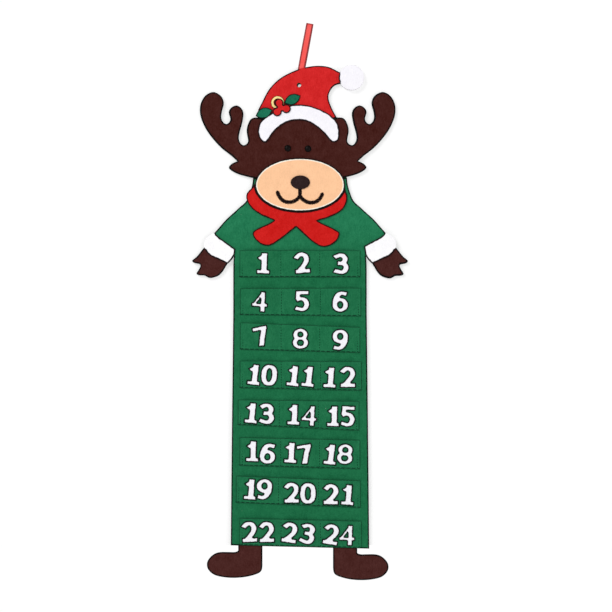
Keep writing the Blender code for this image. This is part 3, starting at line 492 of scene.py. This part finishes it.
RIBBON_W = 0.0132
RIBBON_T = 0.00034
RIBBON_LEAN = math.radians(10.7)
HOOK_REACH = 0.0954  # along the ribbon, where it turns over the hook
FOLD = Vector((-0.0152, 0, -0.0805))
RIBBON_END = -0.0939  # height of its two ends
RIBBON_SLIP = 0.0007  # how far the run behind lies to the right at the fold
RIBBON_CURL = 0.00025
RIBBON_COLUMNS = 8
LOOP_REACH = 0.0052  # from the middle of the loop to either run, where it is widest
LOOP_STEPS = 56


def satin_cloth(name, colour):
    """Shiny ribbon: fine threads along it, a firmer and darker selvedge on both sides, painted
    shade where it turns over the hook.
    """
    cloth, tree = new_cloth(name, {"Roughness": 0.42, "Specular IOR Level": 0.45,
                                   "Anisotropic": 0.4, "Sheen Weight": 0.1})
    across = put(tree, "ShaderNodeUVMap", uv_map="ribbon").outputs[0]
    split = put(tree, "ShaderNodeSeparateXYZ", {0: across})
    side = math_of(tree, "ABSOLUTE", math_of(tree, "SUBTRACT", split.outputs[0], 0.5))
    selvedge = put(tree, "ShaderNodeMapRange", {0: side, 1: 0.25, 2: 0.34, 3: 0.0, 4: 1.0},
                   interpolation_type="SMOOTHSTEP")
    lie = put(tree, "ShaderNodeMapping", {"Vector": across})
    lie.inputs["Scale"].default_value = (60, 500, 1)
    thread = put(tree, "ShaderNodeTexNoise", {"Vector": lie.outputs[0], "Scale": 1.0, "Detail": 3})
    wefts = put(tree, "ShaderNodeMath", {0: math_of(tree, "MULTIPLY", split.outputs[1], 1900.0)},
                operation="SINE")
    base = linear(*colour)
    shade = mixed(tree, thread.outputs[0], toned(base, 0.86), toned(base, 1.12))
    maroon = (base[0] * 0.3, base[1] * 0.05, base[2] * 0.08, 1)
    shade = mixed(tree, selvedge.outputs[0], shade, maroon)
    # Painted shade where the ribbon turns over the hook
    reach = math_of(tree, "ABSOLUTE", math_of(tree, "SUBTRACT", split.outputs[1], HOOK_REACH))
    hook_turn_shade = put(tree, "ShaderNodeMapRange", {0: reach, 1: 0.0020, 2: 0.0048, 3: 0.85, 4: 0.0},
                 interpolation_type="SMOOTHSTEP")
    shade = mixed(tree, hook_turn_shade.outputs[0], shade, maroon)
    height = math_of(tree, "ADD", math_of(tree, "MULTIPLY", thread.outputs[0], 0.6),
                     math_of(tree, "MULTIPLY", wefts.outputs[0], 0.15))
    surfaced(tree, shade, height, 0.35, 0.0001)
    return cloth


def ribbon_path():
    """The middle of the ribbon from its front end, over the hook, to its back end, in (y, z)."""
    stem, top, bottom = 0.0002, -0.0004, FOLD.z + 0.006
    front = []
    for i in range(LOOP_STEPS + 1):
        angle = math.pi * i / LOOP_STEPS
        # The sines reach about 0.73 together, above the middle of the loop
        reach = LOOP_REACH * math.sin(angle) * math.sin(angle / 2) ** 1.2 / 0.73
        height = bottom + (top - bottom) * (1 - math.cos(angle)) / 2
        front.append((-max(reach, stem if i < LOOP_STEPS else 0), height))
    tail = [(-stem, z) for z in np.linspace(RIBBON_END, bottom - 0.001, 12)]
    front = tail + front
    return np.array(front + [(-y, z) for y, z in front[-2::-1]])


def ribbon_strip(name, cloth):
    """The ribbon round its path, as (object, length), with its UV map across and along it."""
    path = ribbon_path()
    along = np.gradient(path, axis=0)
    along /= np.hypot(*along.T)[:, None]
    out = np.column_stack([-along[:, 1], along[:, 0]]) * RIBBON_T / 2
    far = np.concatenate([[0], np.cumsum(np.hypot(*np.diff(path, axis=0).T))])
    columns = RIBBON_COLUMNS
    vertices, uvs = [], []
    for (y, z), (oy, oz), reach in zip(path, out, far):
        slip = RIBBON_SLIP * np.clip(-z / 0.08, 0, 1) * (1 if reach > far[-1] / 2 else -0.2)
        for face in (1, -1):
            for i in range(columns + 1):
                across = i / columns - 0.5
                roll = 1 - 1.25 * max(0, abs(across) * 2 - 0.8)  # thinner at its sides
                curl = RIBBON_CURL * math.sin(2 * math.pi * (reach / 0.061 + across * 0.5))
                ease = np.clip((z - FOLD.z) / 0.02, 0, 1)  # flat and level below the fold
                wide = across * RIBBON_W * math.cos(RIBBON_LEAN)
                drop = across * RIBBON_W * math.sin(RIBBON_LEAN) * ease
                vertices.append((z * math.tan(RIBBON_LEAN) + wide + slip,
                                 y + face * oy * roll + curl * ease, z + face * oz * roll - drop))
                uvs.append((across + 0.5, reach))
    ring = 2 * (columns + 1)
    loop = [*range(columns + 1), *range(ring - 1, columns, -1)]
    faces = []
    for k in range(len(path) - 1):
        for i, j in zip(loop, loop[1:] + loop[:1]):
            faces.append((k * ring + i, k * ring + j, (k + 1) * ring + j, (k + 1) * ring + i))
    last = (len(path) - 1) * ring
    for i in range(columns):
        a, b, c, d = i, i + 1, columns + 2 + i, columns + 1 + i
        faces += [(a, d, c, b), (last + a, last + b, last + c, last + d)]
    mesh = bpy.data.meshes.new(name)
    mesh.from_pydata(vertices, [], faces)
    layer = mesh.uv_layers.new(name="ribbon")
    for corner in mesh.loops:
        layer.data[corner.index].uv = uvs[corner.vertex_index]
    outward = bmesh.new()
    outward.from_mesh(mesh)
    bmesh.ops.recalc_face_normals(outward, faces=outward.faces)
    outward.to_mesh(mesh)
    outward.free()
    mesh.shade_smooth()
    return placed(name, mesh, cloth), far[-1]


red_satin = satin_cloth("red_satin", (246, 80, 74))
ribbon, ribbon_length = ribbon_strip("ribbon", red_satin)
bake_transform(ribbon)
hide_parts("ribbon_loop", "ribbon_ends")


# Hat. Red felt with its tip bent over to the right, and a hole punched through hat and back
# panel together, for a nail.

red_felt = felt_cloth("red_felt", (208, 32, 33), (34, 3, 7), width=2.4, contrast=0.11)
hat = felt_piece("hat", BASE_BACK, red_felt, "red_felt", ["back_panel_felt"], punched=True)
# The ribbon comes out here
without_dark_edge(hat, lambda x, z: abs(x - FOLD.x - 0.0004) < RIBBON_W * 0.34 and z > FOLD.z - 0.010)


# Head. Dark brown felt, antlers, ears and face in one piece, cut off where the hat begins. The
# brim covers that join.

brown_felt = felt_cloth("brown_felt", (70, 30, 26), (8, 3, 4), width=2.7, contrast=0.18, lint=0.1)
dark_brown_felt = felt_cloth("dark_brown_felt", (65, 23, 17), (8, 3, 4), width=2.7, contrast=0.18,
                             lint=0.1)
head_lines = cut_lines("head")
for corner, raised in (  # of the ears, so that they meet the hat
    ((-0.0892, -0.1782), (-0.0899, -0.1749)), ((-0.0946, -0.1763), (-0.0946, -0.1745)),
    ((0.0498, -0.1763), (0.0500, -0.1747)), ((0.0444, -0.1782), (0.0444, -0.1768)),
):
    head_lines[0][np.hypot(*(head_lines[0] - corner).T).argmin()] = raised
felt_piece("head", BASE_BACK, dark_brown_felt, "brown_felt", ["back_panel_felt"], head_lines)


# Shirt. The same green felt as the back panel, with two short sleeves. The pockets are sewn
# to it.

CHEST_X = -0.0185  # the chest's middle
shirt = felt_piece("shirt", BASE_BACK, green_felt, "green_felt", ["back_panel_felt"], grid=0.006)
# The cuffs cover the armpits' edges
without_dark_edge(shirt, lambda x, z: abs(abs(x - CHEST_X) - 0.121) < 0.007 and -0.4300 < z < -0.410)


# Hands. Two mittens of brown felt, glued to the back panel where the sleeves end. The cuffs
# cover the joins.

for side in ("left", "right"):
    felt_piece(f"hand_{side}", BASE_BACK, brown_felt, "brown_felt", ["back_panel_felt"])


# Brim, pompom and cuffs. Thick white felt over the joins of hat, head, shirt and hands. Its cut
# edge has a painted shadow line where it lies on dyed felt, and is pale where it stands over
# nothing.

white_felt = felt_cloth("white_felt", (248, 246, 252), (22, 10, 14), width=2.5, contrast=0.05,
                        lint=0, part=True)
felt_piece("brim", COVER_BACK, white_felt, "white_felt", ["hat_felt", "head_felt"],
           grid=0.004, over=outline)
felt_piece("pompom", COVER_BACK, white_felt, "white_felt", ["hat_felt"], thickness=0.0034,
           grid=0.004, over=outline)
cuff_felt = felt_cloth("cuff_felt", (254, 253, 255), (22, 10, 14), width=2.8, contrast=0.04,
                       lint=0, part=True)
# A cuff's edge gets the painted shadow line inside this outline, given for the left cuff from
# the chest's middle. Only its outer end lies beyond.
inner_side = np.array([(-0.101, -0.3012), (-0.234, -0.5028), (-0.0015, -0.5028),
                       (-0.0015, -0.3012)])
CUFF_END = 0.1343  # the right cuff's upper edge rises from here towards the chest
for side, mirrored in (("left", 1), ("right", -1)):
    cuff_line = cut_lines(f"cuff_{side}")
    if side == "right":  # its inner end is higher than the left one's
        x, z = cuff_line[0].T
        upper = (x < 0.1300) & (z > -0.4180)
        shift = np.column_stack([(x - CUFF_END) * 0.04, (CUFF_END - x) * 0.16])
        cuff_line[0][upper] += shift[upper]
    felt_piece(f"cuff_{side}", COVER_BACK, cuff_felt, "white_felt",
               ["shirt_felt", f"hand_{side}_felt"], cuff_line, grid=0.004,
               over=[inner_side * (mirrored, 1) + (CHEST_X, 0)])


# Holly sprig. Two green leaves, a pale gold ring and three berries cut in one piece, of thin
# felt, glued over the brim and the hat.

OVER_BRIM = -0.0042  # wall side of what lies on the brim
leaf_felt = felt_cloth("leaf_felt", (17, 106, 78), (4, 24, 18), width=2.0)
gold_felt = felt_cloth("gold_felt", (252, 226, 150), (74, 28, 12), width=1.0, contrast=0.06, lint=0)
for node, back, thickness, cloth, slot, under in (
    ("holly_ring", COVER_BACK, 0.0012, gold_felt, "gold_felt", "hat_felt"),
    ("holly_leaf_right", COVER_BACK, 0.0012, leaf_felt, "leaf_felt", "hat_felt"),
    ("holly_leaf_left", OVER_BRIM, 0.0012, leaf_felt, "leaf_felt", "brim_felt"),
    ("holly_berries", OVER_BRIM, 0.0016, red_felt, "red_felt", "brim_felt"),
):
    felt_piece(node, back, cloth, slot, [under], thickness=thickness, step=0.001, grid=0.0025)


# Eyes. Two glossy black plastic beads, domed in front and flat at the back, glued to the head
# above the muzzle.

EYE_SIDES = 40
EYE_SUNK = 0.00025  # into the head's felt


def glossy_plastic(name):
    cloth, tree = new_cloth(name, {"Specular IOR Level": 0.07})
    place = put(tree, "ShaderNodeTexCoord").outputs["Object"]
    dust = put(tree, "ShaderNodeTexNoise", {"Vector": place, "Scale": 900.0, "Detail": 4})
    shade = mixed(tree, dust.outputs[0], (0.0015, 0.001, 0.001, 1), (0.006, 0.004, 0.004, 1))
    dull = put(tree, "ShaderNodeMapRange", {0: dust.outputs[0], 1: 0.3, 2: 0.8, 3: 0.28, 4: 0.42})
    tree.links.new(dull.outputs[0], tree.nodes["Principled BSDF"].inputs["Roughness"])
    surfaced(tree, shade, dust.outputs[0], 0.08, 0.0001)
    return cloth


black_plastic = glossy_plastic("black_plastic")
for side in ("left", "right"):
    low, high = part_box(f"eye_{side}")
    centre, radius = (low + high) / 2, (high.x - low.x) / 2
    back, rise = high.y, high.y - low.y
    profile = [(0.0, rise)] + [
        (radius * math.sin(t), rise * math.cos(t)) for t in np.linspace(0.06, math.pi / 2, 14)
    ]
    profile += [(radius * 0.96, -EYE_SUNK), (radius * 0.5, -EYE_SUNK), (0.0, -EYE_SUNK)]
    bead = bmesh.new()
    rings = []
    for reach, up in profile:
        turns = 1 if reach == 0 else EYE_SIDES
        rings.append([
            bead.verts.new((centre.x + reach * math.cos(2 * math.pi * k / EYE_SIDES), back - up,
                            centre.z + reach * math.sin(2 * math.pi * k / EYE_SIDES)))
            for k in range(turns)
        ])
    for inner, outer in zip(rings, rings[1:]):
        for k in range(EYE_SIDES):
            corners = [inner[k % len(inner)], inner[(k + 1) % len(inner)],
                       outer[(k + 1) % len(outer)], outer[k % len(outer)]]
            bead.faces.new(list(dict.fromkeys(corners)))
    for vert in bead.verts:
        vert.co.y += float(sway(np.array([centre.x]), np.array([centre.z]))[0])
    bmesh.ops.recalc_face_normals(bead, faces=bead.faces)
    mesh = bpy.data.meshes.new(f"eye_{side}_bead")
    bead.to_mesh(mesh)
    bead.free()
    mesh.shade_smooth()
    eye = placed(f"eye_{side}_bead", mesh, black_plastic)
    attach(eye, "calendar")
    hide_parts(f"eye_{side}")


# Scarf. Felt of a deeper red than the hat, collar and two crossed tails in one piece, sewn on
# under the muzzle.

deep_red_felt = felt_cloth("deep_red_felt", (202, 21, 18), (34, 3, 7), width=2.4, contrast=0.11)
felt_piece("scarf", COVER_BACK, deep_red_felt, "red_felt", ["shirt_felt"], grid=0.004)


# Muzzle and nose. A large oval of peach felt whose cut edge is dark outside and pale inside,
# and a stuffed oval nose of near-black felt.

MUZZLE_T = 0.0028
MUZZLE_RAISED = 0.0015  # how far its upper half is stretched upwards
peach_felt = felt_cloth("peach_felt", (252, 199, 155), (16, 7, 6), width=2.4, contrast=0.07,
                        lint=0, inner=((255, 250, 236), 3.1, 4.7))
muzzle_line = cut_lines("muzzle")
z = muzzle_line[0][:, 1]
z += MUZZLE_RAISED * np.clip((z - z.mean()) / (z.max() - z.mean()), 0, 1)
felt_piece("muzzle", COVER_BACK, peach_felt, "peach_felt", ["head_felt", "shirt_felt"],
           muzzle_line, thickness=MUZZLE_T, grid=0.004,
           rings=(0.00016, 0.0005, 0.0011, 0.0018, 0.0025, 0.0033, 0.0043))

nose_felt = felt_cloth("nose_felt", (40, 24, 24), (12, 8, 8), width=0.6, contrast=0.3, lint=0.1)
low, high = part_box("nose")
around = np.linspace(0, 2 * math.pi, 72, endpoint=False)
nose_oval = np.column_stack([
    (low.x + high.x) / 2 + (high.x - low.x) / 2 * np.cos(around),
    (low.z + high.z) / 2 + (high.z - low.z) / 2 * np.sin(around),
])
NOSE_DOME = 0.0029  # how much thicker it is in its middle
NOSE_SLOPE = 0.0115  # the dome rises over this distance from the edge
nose = cut_felt("nose_felt", [nose_oval], high.y, 0.0014, nose_felt, step=0.001, grid=0.0018,
                crown=lambda d: NOSE_DOME * np.sqrt(1 - (1 - np.clip(d / NOSE_SLOPE, 0, 1)) ** 2))
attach(nose, "calendar")
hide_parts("nose")


# Pocket strips. Eight strips of green felt 1.5 mm thick, sewn flat along their sides, their
# bottom and two seams. Between the seams each pocket bellies out and is open at the top.

STRIP_T = 0.0015
SEAMS = (0.0, 0.340, 0.664, 1.0)  # as shares of a strip's width
LAND = 0.0036  # flat beside a seam
FOOT = 0.003  # flat above the bottom
RISE = 0.62  # over this share of its height a strip comes off the shirt
GAPE = 0.0043
pocket_felt = felt_cloth("pocket_felt", (24, 108, 68), (9, 52, 34), width=0.5, contrast=0.18)
strips = []
for row in range(1, 9):
    corners = np.array([v.co[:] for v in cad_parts[f"pocket_strip_{row}"].data.vertices])
    left, right = corners[:, 0].min(), corners[:, 0].max()
    ends = []
    for x in (left, right):
        side = corners[np.abs(corners[:, 0] - x) < 1e-5, 2]
        ends += [side.min(), side.max()]
    strips.append((left, right, *ends))  # bottom and top at the left, then at the right


def pocket_gape(row):
    """How far the felt of a strip stands off the shirt, as a function of x and z."""
    left, right, bottom_left, top_left, bottom_right, top_right = strips[row]

    def gape(x, z):
        share = (x - left) / (right - left)
        bottom = bottom_left + (bottom_right - bottom_left) * share
        top = top_left + (top_right - top_left) * share
        belly = np.zeros(np.shape(x))
        for k in range(3):
            start = left + SEAMS[k] * (right - left) + LAND
            stop = left + SEAMS[k + 1] * (right - left) - LAND
            across = np.clip((x - start) / (stop - start), 0, 1)
            fullness = 0.86 + 0.14 * math.sin(2.3 * (3 * row + k) + 1)  # no two pockets alike
            arch = fullness * (1 - np.abs(2 * across - 1) ** 2.3)
            belly = belly + arch * (across > 0) * (across < 1)
        up = np.clip((z - bottom - FOOT) / ((top - bottom) * RISE), 0, 1)
        return GAPE * belly * up * up * (3 - 2 * up)

    return gape


for row, (left, right, bottom_left, top_left, bottom_right, top_right) in enumerate(strips):
    edges = np.array([(left, bottom_left), (right, bottom_right),
                      (right, top_right), (left, top_left)])
    felt_piece(f"pocket_strip_{row + 1}", COVER_BACK, pocket_felt, "green_felt", ["shirt_felt"],
               [edges], thickness=STRIP_T, grid=0.003, lift=pocket_gape(row))


# Figures. Thirty-nine digits die-cut from white felt, glued to the pockets by hand, so each
# stands a little askew. The dark rim round each is partly its scorched cut edge and partly
# painted shadow on the strip.

# Its dark edge colour is the strip's green-black: painted shadow as well as scorched felt
figure_felt = felt_cloth("figure_felt", (247, 245, 251), (4, 16, 12), width=2.55, contrast=0.05,
                         lint=0)
DIGIT_T = 0.0013
digit_back = COVER_BACK - STRIP_T - 0.0001  # on a film of glue
# The first figures of the days 10 to 24: the day, the figure's place and its clockwise tilt
FIRST_FIGURES = [
    (10, -0.1038, -0.6495, 7), (11, -0.0313, -0.6519, 7), (12, 0.0361, -0.6547, 4),
    (13, -0.1090, -0.7204, 6), (14, -0.0310, -0.7235, 3), (15, 0.0424, -0.7263, 1.5),
    (16, -0.1072, -0.7910, 2), (17, -0.0365, -0.7938, 3.5), (18, 0.0369, -0.7968, 6.5),
    (19, -0.1108, -0.8613, 4.5), (20, -0.0339, -0.8674, 0), (21, 0.0387, -0.8704, 2),
    (22, -0.1118, -0.9398, -3), (23, -0.0374, -0.9409, 8), (24, 0.0388, -0.9443, 9),
]
# The single figures 1 and 2, which give them their shapes, with their own place and tilt
PATTERNS = {1: ("number_01", -0.0869, -0.4441, 2), 2: ("number_02", -0.0148, -0.4430, -5)}
RIM = 0.0012  # how far a figure's outline is grown
DIGIT_STEP = 0.0009


def grown(line, margin):
    """A line moved off its felt, for a dark rim that is partly the blade's scorched edge and partly
    painted shadow on the strip.
    """
    along = np.roll(line, -1, 0) - np.roll(line, 1, 0)
    out = np.column_stack([along[:, 1], -along[:, 0]])
    moved = line + out / np.maximum(np.hypot(*out.T), 1e-9)[:, None] * margin[:, None]
    return moved[edge_distance(moved, [line]) > margin * 0.93]  # without the loops in inner corners


figures = []  # name, row, cut lines and CAD nodes
for day in range(1, 25):
    node = f"number_{day:02d}"
    lines = [eased(line, DIGIT_STEP) for line in cut_lines(node)]
    figures.append((f"{node}_last_figure", (day - 1) // 3, lines, [node]))
for day, x, z, tilt in FIRST_FIGURES:
    node, from_x, from_z, from_tilt = PATTERNS[day // 10]
    turn = math.radians(from_tilt - tilt)
    spin = np.array([(math.cos(turn), -math.sin(turn)), (math.sin(turn), math.cos(turn))])
    lines = [eased((line - (from_x, from_z)) @ spin.T + (x, z), DIGIT_STEP)
             for line in cut_lines(node)]
    figures.append((f"number_{day:02d}_first_figure", (day - 1) // 3, lines, []))
for name, row, lines, nodes in figures:
    others = [line for other in figures if other[1] == row and other[0] != name
              for line in other[2]]
    rims = []
    for line in lines:
        rim = RIM if line is lines[0] else RIM / 2  # the eye of a figure stays open
        rims.append(grown(line, np.minimum(rim, edge_distance(line, others) * 0.4)))
    digit = cut_felt(name, rims, digit_back, DIGIT_T, figure_felt, step=DIGIT_STEP, grid=0.0025,
                     lift=pocket_gape(row))
    sewn_on(digit, nodes)


# Sewing. Dark green thread along the sides, seams and bottom of each strip, through shirt and
# back panel, so that it shows on the back too, and the mouth worked in black satin stitch. Along
# the bottom the stitches run on without gaps, partly thread and partly a painted shadow line
# under the strip's edge.


def stitch_tree():
    """Stitches along the edges of a mesh, one every pitch, each a small rounded capsule."""
    tree = bpy.data.node_groups.new("stitches", "GeometryNodeTree")
    tree.interface.new_socket("Geometry", in_out="INPUT", socket_type="NodeSocketGeometry")
    for label, value in (("Pitch", 0.0046), ("Length", 0.0029), ("Width", 0.0011),
                         ("Height", 0.0005), ("Turn", 0.0), ("Unevenness", 0.12),
                         ("Taper", 0.000001)):
        socket = tree.interface.new_socket(label, in_out="INPUT", socket_type="NodeSocketFloat")
        socket.default_value = value
    tree.interface.new_socket("Thread", in_out="INPUT", socket_type="NodeSocketMaterial")
    tree.interface.new_socket("Geometry", in_out="OUTPUT", socket_type="NodeSocketGeometry")
    given = put(tree, "NodeGroupInput").outputs
    curve = put(tree, "GeometryNodeMeshToCurve", {0: given["Geometry"]}).outputs[0]
    spaced = put(tree, "GeometryNodeResampleCurve",
                 {0: curve, "Length": given["Pitch"]}, mode="LENGTH")
    ball = put(tree, "GeometryNodeMeshUVSphere", {"Segments": 8, "Rings": 5, "Radius": 0.5})
    size = put(tree, "ShaderNodeCombineXYZ",
               {0: given["Length"], 1: given["Height"], 2: given["Width"]})
    capsule = put(tree, "GeometryNodeTransform", {0: ball.outputs[0], "Scale": size.outputs[0]})
    heading = put(tree, "FunctionNodeAlignRotationToVector",
                  {"Vector": put(tree, "GeometryNodeInputTangent").outputs[0]}, axis="X")
    low = math_of(tree, "MULTIPLY", given["Unevenness"], -1.0)
    loose = put(tree, "FunctionNodeRandomValue",
                {2: low, 3: given["Unevenness"], "Seed": 24}, data_type="FLOAT")
    swing = math_of(tree, "ADD", given["Turn"], loose.outputs[1])
    spin = put(tree, "ShaderNodeCombineXYZ", {1: swing})
    turned = put(tree, "FunctionNodeRotateRotation",
                 {0: heading.outputs[0], 1: spin.outputs[0]}, rotation_space="LOCAL")
    run = put(tree, "GeometryNodeSplineParameter").outputs["Length"]
    left = math_of(tree, "SUBTRACT", put(tree, "GeometryNodeSplineLength").outputs["Length"], run)
    share = put(tree, "ShaderNodeMapRange", {0: left, 1: 0.0, 2: given["Taper"], 3: 0.4, 4: 1.0})
    shorter = put(tree, "ShaderNodeCombineXYZ", {0: share.outputs[0], 1: 1.0, 2: 1.0})
    laid = put(tree, "GeometryNodeInstanceOnPoints",
               {"Points": spaced.outputs[0], "Instance": capsule.outputs[0],
                "Rotation": turned.outputs[0], "Scale": shorter.outputs[0]})
    real = put(tree, "GeometryNodeRealizeInstances", {0: laid.outputs[0]})
    smooth = put(tree, "GeometryNodeSetShadeSmooth", {0: real.outputs[0]})
    done = put(tree, "GeometryNodeSetMaterial", {0: smooth.outputs[0], "Material": given["Thread"]})
    tree.links.new(done.outputs[0], put(tree, "NodeGroupOutput").inputs[0])
    return tree


def sew(name, paths, thread, **sizes):
    """Works stitches along the paths, given as lists of (x, y, z), and returns them as a mesh."""
    points, edges = [], []
    for path in paths:
        edges += [(len(points) + i, len(points) + i + 1) for i in range(len(path) - 1)]
        points += path
    guide = bpy.data.meshes.new(f"{name}_path")
    guide.from_pydata(points, edges, [])
    holder = placed(f"{name}_path", guide)
    modifier = holder.modifiers.new("stitches", "NODES")
    modifier.node_group = stitches
    values = {"Thread": thread, **sizes}
    for item in stitches.interface.items_tree:
        if item.in_out == "INPUT" and item.name in values:
            modifier[item.identifier] = values[item.name]
    worked = holder.evaluated_get(bpy.context.evaluated_depsgraph_get())
    mesh = bpy.data.meshes.new_from_object(worked)
    bpy.data.objects.remove(holder)
    mesh.name = name
    piece = placed(name, mesh)
    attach(piece, "calendar")
    return piece


def thread_cloth(name, colour, rough):
    cloth, tree = new_cloth(name, {"Roughness": rough, "Specular IOR Level": 0.06})
    place = put(tree, "ShaderNodeTexCoord").outputs["Object"]
    plies = put(tree, "ShaderNodeTexNoise", {"Vector": place, "Scale": 2600.0, "Detail": 3})
    base = linear(*colour)
    shade = mixed(tree, plies.outputs[0], toned(base, 0.7), toned(base, 1.4))
    surfaced(tree, shade, plies.outputs[0], 0.5, 0.0001)
    return cloth


SEAM_INSET = 0.0045  # of the outer seams from a strip's sides
stitches = stitch_tree()
green_thread = thread_cloth("green_thread", (4, 36, 24), 0.8)
seam_lines, hem_lines = [], []
for left, right, bottom_left, top_left, bottom_right, top_right in strips:
    width = right - left

    def on_strip(share, height, left=left, width=width, low=(bottom_left, bottom_right),
                 high=(top_left, top_right)):
        """A place on the strip, from a share of its width and of its height."""
        bottom = low[0] + (low[1] - low[0]) * share
        top = high[0] + (high[1] - high[0]) * share
        return left + share * width, bottom + height * (top - bottom)

    inset = SEAM_INSET / width
    for share in (inset, SEAMS[1], SEAMS[2], 1 - inset):
        seam_lines.append([on_strip(share, h) for h in np.linspace(0.05, 0.97, 14)])
    hem_lines.append([on_strip(s, 0.03) for s in np.linspace(0.01, 0.99, 60)])


def at_depth(line, y):
    flat = np.array(line)
    return [(x, y + float(s), z) for (x, z), s in zip(line, sway(flat[:, 0], flat[:, 1]))]


# Stitches without gaps along the bottom: partly thread, partly painted shadow under the strip
hem_stitch_and_shadow = {"Pitch": 0.0092, "Length": 0.0091, "Width": 0.0013, "Unevenness": 0.03}
for face, y in (("front", COVER_BACK - STRIP_T), ("back", PANEL_BACK + 0.00005)):
    seams = sew(f"{face}_seams", [at_depth(line, y) for line in seam_lines], green_thread)
    hems = sew(f"{face}_hems", [at_depth(line, y) for line in hem_lines], green_thread,
               **hem_stitch_and_shadow)

black_thread = thread_cloth("black_thread", (24, 12, 12), 0.6)
mouth_y = COVER_BACK - MUZZLE_T - 0.0002
mouth_knots = [
    [(-0.0185, -0.3068), (-0.0185, -0.3130), (-0.0185, -0.3195)],
    [(-0.0185, -0.3191), (-0.0216, -0.3240), (-0.0261, -0.3276), (-0.0325, -0.3306),
     (-0.0389, -0.3314), (-0.0462, -0.3302), (-0.0525, -0.3261), (-0.0575, -0.3196),
     (-0.0609, -0.3100)],
    [(-0.0185, -0.3191), (-0.0152, -0.3243), (-0.0106, -0.3281), (-0.0045, -0.3312),
     (0.0022, -0.3322), (0.0095, -0.3311), (0.0160, -0.3273), (0.0206, -0.3213),
     (0.0237, -0.3134)],
]
mouth = sew("mouth_stitches", [at_depth(line, mouth_y) for line in mouth_knots], black_thread,
            Pitch=0.00042, Length=0.0079, Width=0.0006, Height=0.0008, Turn=math.pi / 2,
            Unevenness=0.05, Taper=0.0028)
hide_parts("mouth")


# Legs. Each is one piece of brown felt with its foot turned outwards. Its top is pressed flat
# and sewn in between shirt and back panel.

LEG_BACK = 0.001
PRESSED = 0.36  # the sewn-in part's thickness, as a share

for side in ("left", "right"):
    top_low, top_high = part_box(f"leg_top_{side}")
    leg_line = cut_lines(f"foot_{side}")[0]
    hem = top_low.z
    raised = leg_line[:, 1] > leg_line[:, 1].max() - 1e-4
    leg_line[raised, 1] = top_high.z - 0.0008

    def pressed(x, z, hem=hem):
        share = np.clip((hem - 0.0004 - z) / 0.004, 0, 1)
        return PRESSED + (1 - PRESSED) * share * share * (3 - 2 * share)

    leg = cut_felt(f"leg_{side}_felt", [leg_line], LEG_BACK, FELT, brown_felt, thin=pressed)
    middle = Vector(((top_low.x + top_high.x) / 2, 0, hem - 0.0008))
    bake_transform(leg)
    sewn_on(leg, [f"leg_top_{side}", f"foot_{side}"],
            body=None)


# Photograph. Two white cards move with the calendar: one close behind it, partly lit through so
# that shadows on it stay faint, and a glowing one further back, where ribbon and legs can fold.
# Below is a pale floor, in front a straight camera, and large soft lights from upper left.


def stage_sheet(name, corners, cloth):
    mesh = bpy.data.meshes.new(name)
    mesh.from_pydata(corners, [], [(0, 1, 2, 3)])
    sheet = placed(name, mesh, cloth)
    return sheet


def upright(y, bottom, top, half=0.95):
    return [(-half, y, bottom), (half, y, bottom), (half, y, top), (-half, y, top)]


paper, tree = new_cloth("white_card", {
    "Base Color": (0.48, 0.48, 0.48, 1), "Emission Color": (1, 1, 1, 1), "Emission Strength": 0.54,
    "Roughness": 1, "Specular IOR Level": 0,
})
# Seen from behind, the cards let the view through to the back of the calendar
see_through = put(tree, "ShaderNodeMixShader", {
    0: put(tree, "ShaderNodeNewGeometry").outputs["Backfacing"],
    1: tree.nodes["Principled BSDF"].outputs[0],
    2: put(tree, "ShaderNodeBsdfTransparent").outputs[0],
})
tree.links.new(see_through.outputs[0], tree.nodes["Material Output"].inputs[0])
ground = paper.copy()
ground.name = "pale_floor"
glow = paper.copy()
glow.name = "lit_card"
lit = glow.node_tree.nodes["Principled BSDF"].inputs
lit["Base Color"].default_value = (0, 0, 0, 1)
lit["Emission Strength"].default_value = 1.02
card = stage_sheet("card", upright(0.0062, -0.966, -0.080), paper)
backdrop = stage_sheet("backdrop", upright(0.10, -1.45, 0.4), glow)
stage_sheet("floor", [(-5, -5, -1.5), (5, -5, -1.5), (5, 5, -1.5), (-5, 5, -1.5)], ground)
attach(card, "calendar")
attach(backdrop, "calendar")

world = bpy.data.worlds.new("studio")
bpy.context.scene.world = world
world.use_nodes = True
world.node_tree.nodes["Background"].inputs[0].default_value = (1, 1, 1, 1)
world.node_tree.nodes["Background"].inputs[1].default_value = 0.42
MIDDLE = Vector((-0.0074, 0, -0.5228))  # of the picture
CAMERA_AWAY = 2.673
for name, place, size, power in (
    ("key", (-1.5, -2.4, 1.1), 1.4, 48),
    ("fill", (1.9, -2.6, -0.3), 2.2, 19),
):
    light = bpy.data.lights.new(name, "AREA")
    light.shape = "SQUARE"
    light.size = size
    light.energy = power
    lamp = placed(name, light)
    lamp.location = place
    lamp.rotation_euler = (MIDDLE - Vector(place)).to_track_quat("-Z", "Y").to_euler()

lens = bpy.data.cameras.new("camera")
lens.lens = 85
lens.sensor_width = 36
camera = placed("camera", lens)
camera.location = MIDDLE - Vector((0, CAMERA_AWAY, 0))
camera.rotation_euler = (math.pi / 2, 0, 0)
bpy.context.scene.camera = camera
bpy.context.scene.view_settings.view_transform = "Standard"
